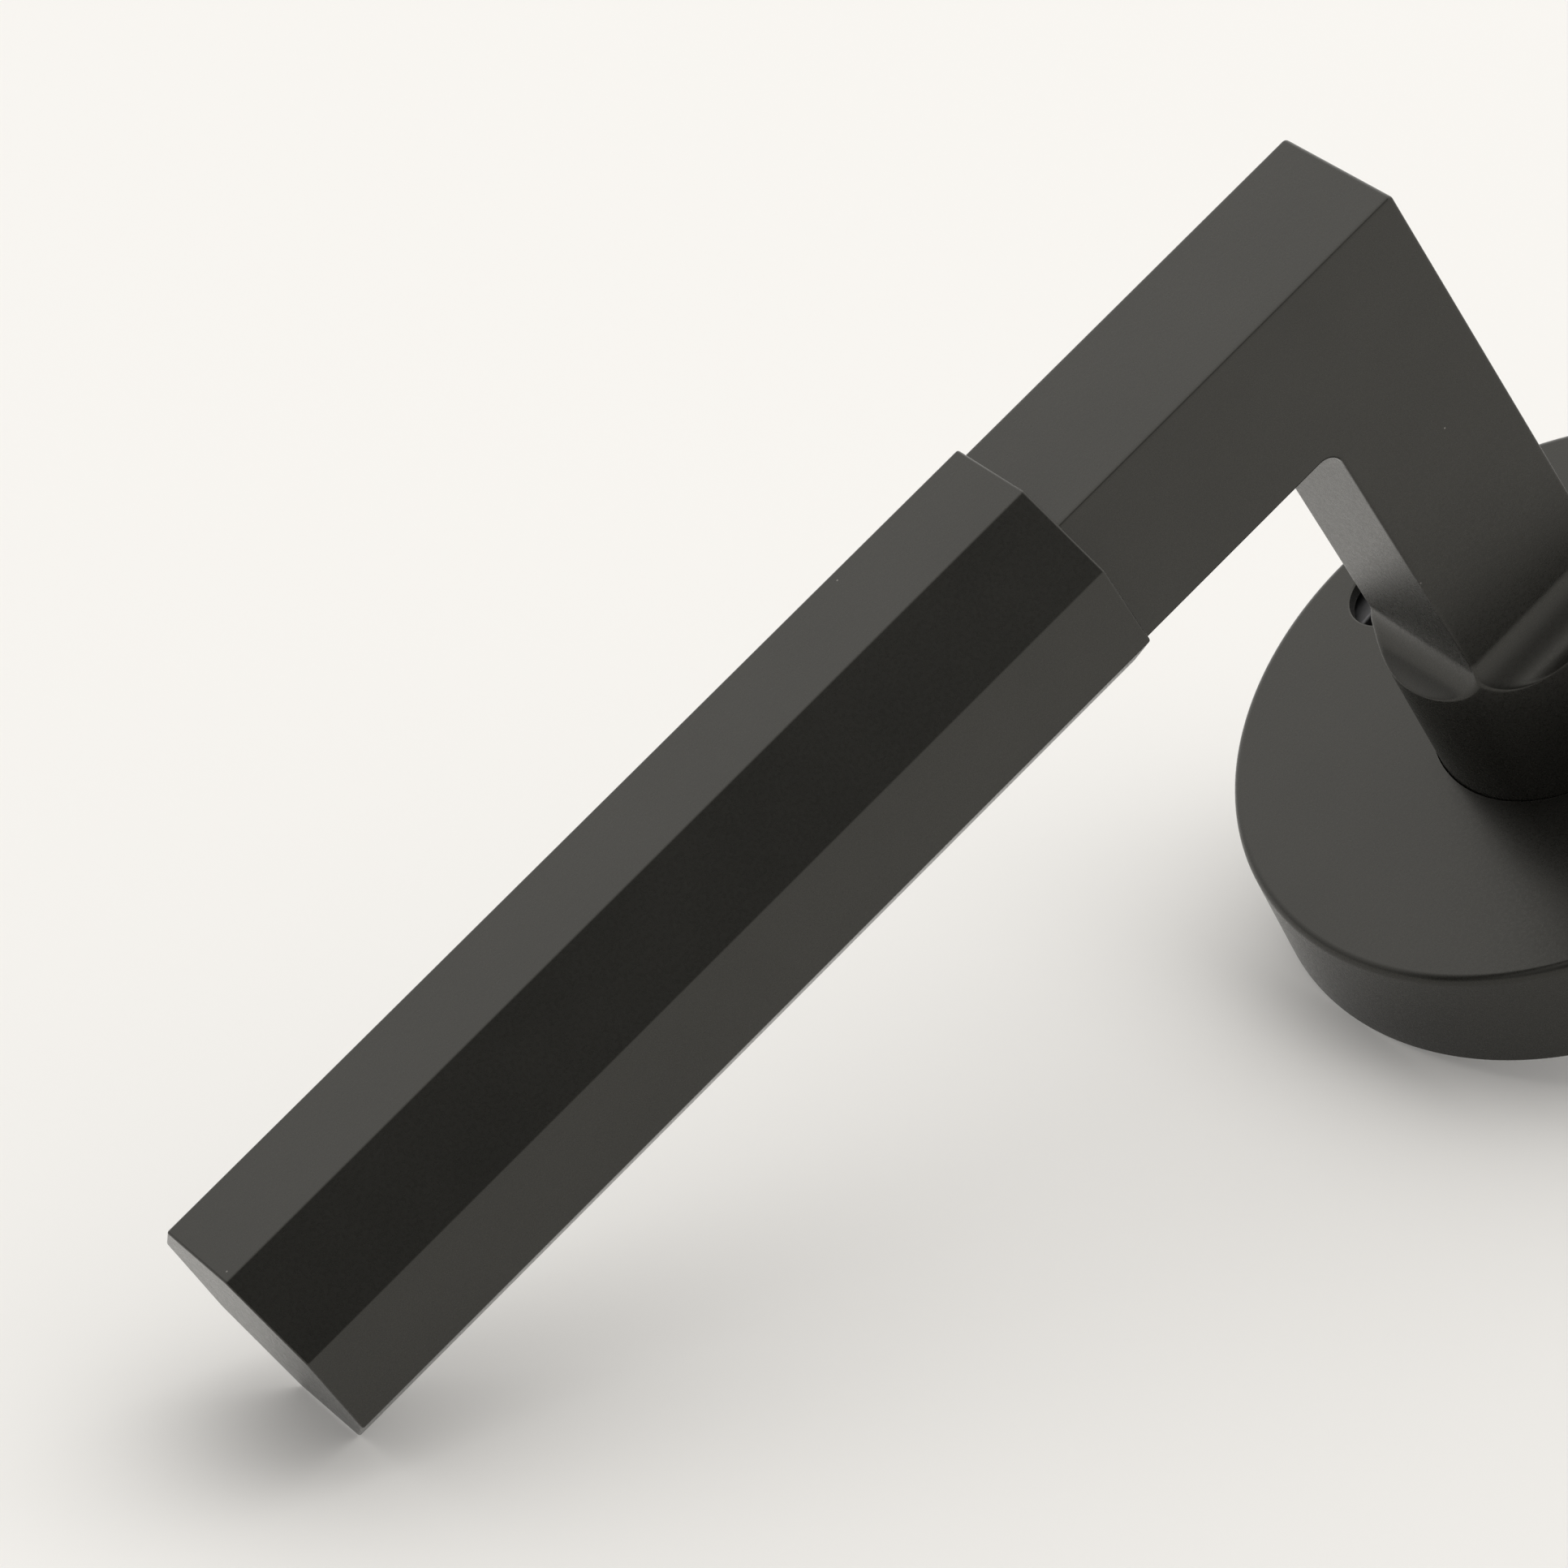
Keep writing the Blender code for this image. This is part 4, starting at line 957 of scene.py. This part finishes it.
def through_bolt(side):
    machine_screw(
        "bolt_" + side,
        "through_bolt_" + side,
        chamfer=0.8 * MM,
        under=BOLT_HEAD_UNDER_Y,
        radius=BOLT_RADIUS,
        pitch=0.7 * MM,
        plain=9 * MM,
        slot_width=0.8 * MM,
        slot_depth=1.2 * MM,
    )


def plate_screw(node):
    machine_screw(
        node.replace("plate", "cassette"),
        node,
        chamfer=0.5 * MM,
        under=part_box(node)[0].y + 0.9 * MM,
        radius=1.0 * MM,
        pitch=0.4 * MM,
        plain=0.3 * MM,
        slot_width=0.4 * MM,
        slot_depth=0.45 * MM,
    )


def sleeve_nut(side):
    """Sleeve nut with a low slotted head and a blind bore for the bolt."""
    node = "sleeve_nut_" + side
    low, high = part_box(node)
    middle, head = middle_of(node)
    shoulder = high.y - 0.6 * MM
    profile = [
        (NUT_BORE, low.y),
        (NUT_RADIUS, low.y),
        (NUT_RADIUS, DOOR_BACK_Y),
        (head, DOOR_BACK_Y),
        (head, shoulder),
        (head - 0.6 * MM, high.y),
        (0, high.y),
        (0, DOOR_BACK_Y - 2 * MM),
        (NUT_BORE, DOOR_BACK_Y - 2 * MM),
    ]
    nut = make("door_" + node, turned(rounded(profile, 0.2 * MM, 4), 96, middle.x))
    cut(nut, prism(rectangle(head + MM, 0.4 * MM, middle.x), high.y - 0.9 * MM, high.y + MM, along_y))
    settle(nut, node, "root", 28)


# ---------------------------------------------------------------- the privacy release


def release_plunger():
    """Turned pin with a dished head, a groove for its clip and a tapered end."""
    low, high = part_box("release_plunger")
    head = high.x
    under = low.y + 1.4 * MM
    groove = RELEASE_BOSS_LENGTH + CLEARANCE
    groove_end = groove + 1.0 * MM
    slim = 1.0 * MM
    profile = [
        (0, low.y + 0.25 * MM),
        (1.2 * MM, low.y),
        (head - 0.5 * MM, low.y),
        (head, low.y + 0.4 * MM),
        (head, under),
        (PLUNGER_RADIUS, under),
        (PLUNGER_RADIUS, groove),
        (slim, groove),
        (slim, groove_end),
        (PLUNGER_RADIUS, groove_end),
        (PLUNGER_RADIUS, high.y - 0.6 * MM),
        (slim, high.y),
        (0, high.y),
    ]
    profile = rounded(profile, 0.08 * MM, 3)
    turned_piece("release_pin", "release_plunger", profile, "release", RELEASE_Z, 96)


def release_clip():
    """Open clip in the pin's groove."""
    low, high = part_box("release_clip")
    outer = high.x
    inner = 1.2 * MM
    ring = [polar(outer, 300 + 300 * n / 48, 0, RELEASE_Z) for n in range(49)]
    ring += [polar(inner, 600 - 300 * n / 36, 0, RELEASE_Z) for n in range(37)]
    clip = make("release_retaining_clip", prism(ring, low.y, high.y, along_y))
    bevelled(clip, 0.06 * MM)
    settle(clip, "release_clip", "release")


def release_spring():
    """Compression spring with a closed turn at each end."""
    low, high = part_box("release_spring")
    wire = 0.25 * MM
    radius = high.x - wire
    length = high.y - low.y
    turns = 7.0
    closed = 1.0 / turns
    closed_rise = 2.2 * wire  # of each end's turn
    open_rise = length - 2 * wire - 2 * closed_rise
    steps = 252
    points = []
    for n in range(steps + 1):
        part = n / steps
        at_ends = (min(part, closed) + max(part - 1 + closed, 0.0)) / closed
        between = min(max((part - closed) / (1 - 2 * closed), 0.0), 1.0)
        u, v = polar(radius, 360 * turns * part, 0, RELEASE_Z)
        points.append(Vector((u, low.y + wire + closed_rise * at_ends + open_rise * between, v)))
    spring = make("release_coil_spring", tube(points, wire, 12))
    settle(spring, "release_spring", "root", 60)
    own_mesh(spring)


# ---------------------------------------------------------------- floor, light and camera


def floor():
    """A large pale floor that the rose's rim and the grip's end rest on; returns the way up from it."""
    touch_rose = Vector((ROSE_BACK_RADIUS, 0, 0))
    touch_grip = Vector((TIP_X, GRIP_HIGH.y, 0))
    along = (touch_grip - touch_rose).normalized()
    up = Vector((along.y, -along.x, 0))
    middle = touch_rose - up * 0.02 * MM
    reach = 5.0  # metres, each way
    across = Vector((0, 0, 1))
    mesh = bmesh.new()
    corners = [(-1, -1), (1, -1), (1, 1), (-1, 1)]
    face = mesh.faces.new([mesh.verts.new(middle + reach * (a * along + b * across)) for a, b in corners])
    face.normal_update()
    if face.normal.dot(up) < 0:
        face.normal_flip()
    made = make("floor", mesh)
    made.data.materials.append(floor_finish())
    made.visible_shadow = False
    return up


def floor_finish():
    """Pale matt paint with a faint glow, painted light that lifts the shadows on it; it is clear when it is
    seen from below.
    """
    pale = bpy.data.materials.new("floor")
    pale.use_nodes = True
    tree = pale.node_tree
    shader = tree.nodes["Principled BSDF"]
    shader.inputs["Base Color"].default_value = (0.69, 0.683, 0.668, 1)
    # The faint glow is painted light: it lifts the shadows that fall on the floor.
    shader.inputs["Emission Color"].default_value = (1.0, 0.98, 0.95, 1)
    shader.inputs["Emission Strength"].default_value = 0.14
    shader.inputs["Roughness"].default_value = 0.6
    shader.inputs["Specular IOR Level"].default_value = 0.2
    clear = tree.nodes.new("ShaderNodeBsdfTransparent")
    choose = tree.nodes.new("ShaderNodeMixShader")
    geometry = tree.nodes.new("ShaderNodeNewGeometry")
    tree.links.new(geometry.outputs["Backfacing"], choose.inputs[0])
    tree.links.new(shader.outputs[0], choose.inputs[1])
    tree.links.new(clear.outputs[0], choose.inputs[2])
    tree.links.new(choose.outputs[0], tree.nodes["Material Output"].inputs["Surface"])
    return pale


CAMERA_PLACE = Vector((0.13943, -0.41234, 0.38680))
CAMERA_AZIMUTH = 13.8558
CAMERA_ELEVATION = 46.6831
CAMERA_ROLL = 124.9873
LENS = 174.94
SENSOR = 36


def camera_axes():
    """Right, up and back of the camera."""
    a, e, r = (math.radians(x) for x in (CAMERA_AZIMUTH, CAMERA_ELEVATION, CAMERA_ROLL))
    back = Vector((math.sin(a) * math.cos(e), -math.cos(a) * math.cos(e), math.sin(e)))
    level = Vector((math.cos(a), math.sin(a), 0))
    over = back.cross(level)
    right = level * math.cos(r) + over * math.sin(r)
    return right, back.cross(right), back


def camera():
    data = bpy.data.cameras.new("camera")
    data.lens = LENS
    data.sensor_width = SENSOR
    data.clip_start, data.clip_end = 0.01, 50
    made = bpy.data.objects.new("camera", data)
    bpy.context.scene.collection.objects.link(made)
    made.matrix_world = Matrix.Translation(CAMERA_PLACE) @ Matrix(camera_axes()).transposed().to_4x4()
    bpy.context.scene.camera = made


def floor_axes(floor_up):
    """Along the floor towards the camera, and across to the side."""
    back = camera_axes()[2]
    toward = (back - floor_up * back.dot(floor_up)).normalized()
    return toward, floor_up.cross(toward)


def key_light(floor_up):
    """One large round lamp, high and to the side, for a soft shadow."""
    target = Vector((0.045, -0.045, 0.0))
    toward, aside = floor_axes(floor_up)
    place = target + 1.8 * (floor_up * 0.57 + aside * 0.81 - toward * 0.14)
    data = bpy.data.lights.new("key", "AREA")
    data.shape = "DISK"
    data.size = 0.9
    data.energy = 1.1
    data.color = (1.0, 0.985, 0.96)
    lamp = bpy.data.objects.new("key", data)
    bpy.context.scene.collection.objects.link(lamp)
    lamp.location = place
    lamp.rotation_mode = "QUATERNION"
    lamp.rotation_quaternion = (target - place).to_track_quat("-Z", "Y")
    lamp.visible_camera = False


def world(floor_up):
    """A soft sky, brightest behind and to the side, dim below the floor and where a person stands."""
    toward, aside = floor_axes(floor_up)
    made = bpy.data.worlds.new("studio")
    bpy.context.scene.world = made
    made.use_nodes = True
    tree = made.node_tree
    direction = tree.nodes.new("ShaderNodeTexCoord").outputs["Generated"]

    def lobe(centre, start, end, low, high):
        """A level that goes from low to high as the cosine to a centre direction goes from start to end."""
        dot = tree.nodes.new("ShaderNodeVectorMath")
        dot.operation = "DOT_PRODUCT"
        dot.inputs[1].default_value = centre.normalized()
        tree.links.new(direction, dot.inputs[0])
        share = tree.nodes.new("ShaderNodeMapRange")
        share.interpolation_type = "SMOOTHSTEP"
        for key, value in {"From Min": start, "From Max": end, "To Min": low, "To Max": high}.items():
            share.inputs[key].default_value = value
        tree.links.new(dot.outputs["Value"], share.inputs["Value"])
        return share.outputs["Result"]

    def times(first, second):
        node = tree.nodes.new("ShaderNodeMath")
        node.operation = "MULTIPLY"
        tree.links.new(first, node.inputs[0])
        tree.links.new(second, node.inputs[1])
        return node.outputs[0]

    sky = lobe(floor_up * 1.05 + aside * 0.65 - toward * 0.75, -0.7, 1.0, 0.36, 1.56)
    ground = lobe(floor_up, -0.2, 0.05, 0.3, 1.0)
    person = lobe(camera_axes()[2], math.cos(math.radians(50)), math.cos(math.radians(12)), 1.0, 0.14)
    background = tree.nodes["Background"]
    background.inputs["Color"].default_value = (1.0, 0.985, 0.96, 1.0)
    tree.links.new(times(times(sky, ground), person), background.inputs["Strength"])


# ---------------------------------------------------------------- the whole scene

lever_arm()
lever_grip()
set_screw("grip_set_screw", "grip_screw")
set_screw("spindle_set_screw", "spindle_screw")
spindle_bar()
spring_rotor()
circlip()
rose()
mounting_base()
cassette_plate()
for screw_node in PLATE_SCREWS:
    plate_screw(screw_node)
bearing_bush()
thrust_washer()
wave_washer()
return_spring()
for side in ("left", "right"):
    through_bolt(side)
    sleeve_nut(side)
release_plunger()
release_clip()
release_spring()

bpy.context.scene.view_settings.view_transform = "Standard"
up_from_floor = floor()
world(up_from_floor)
key_light(up_from_floor)
camera()
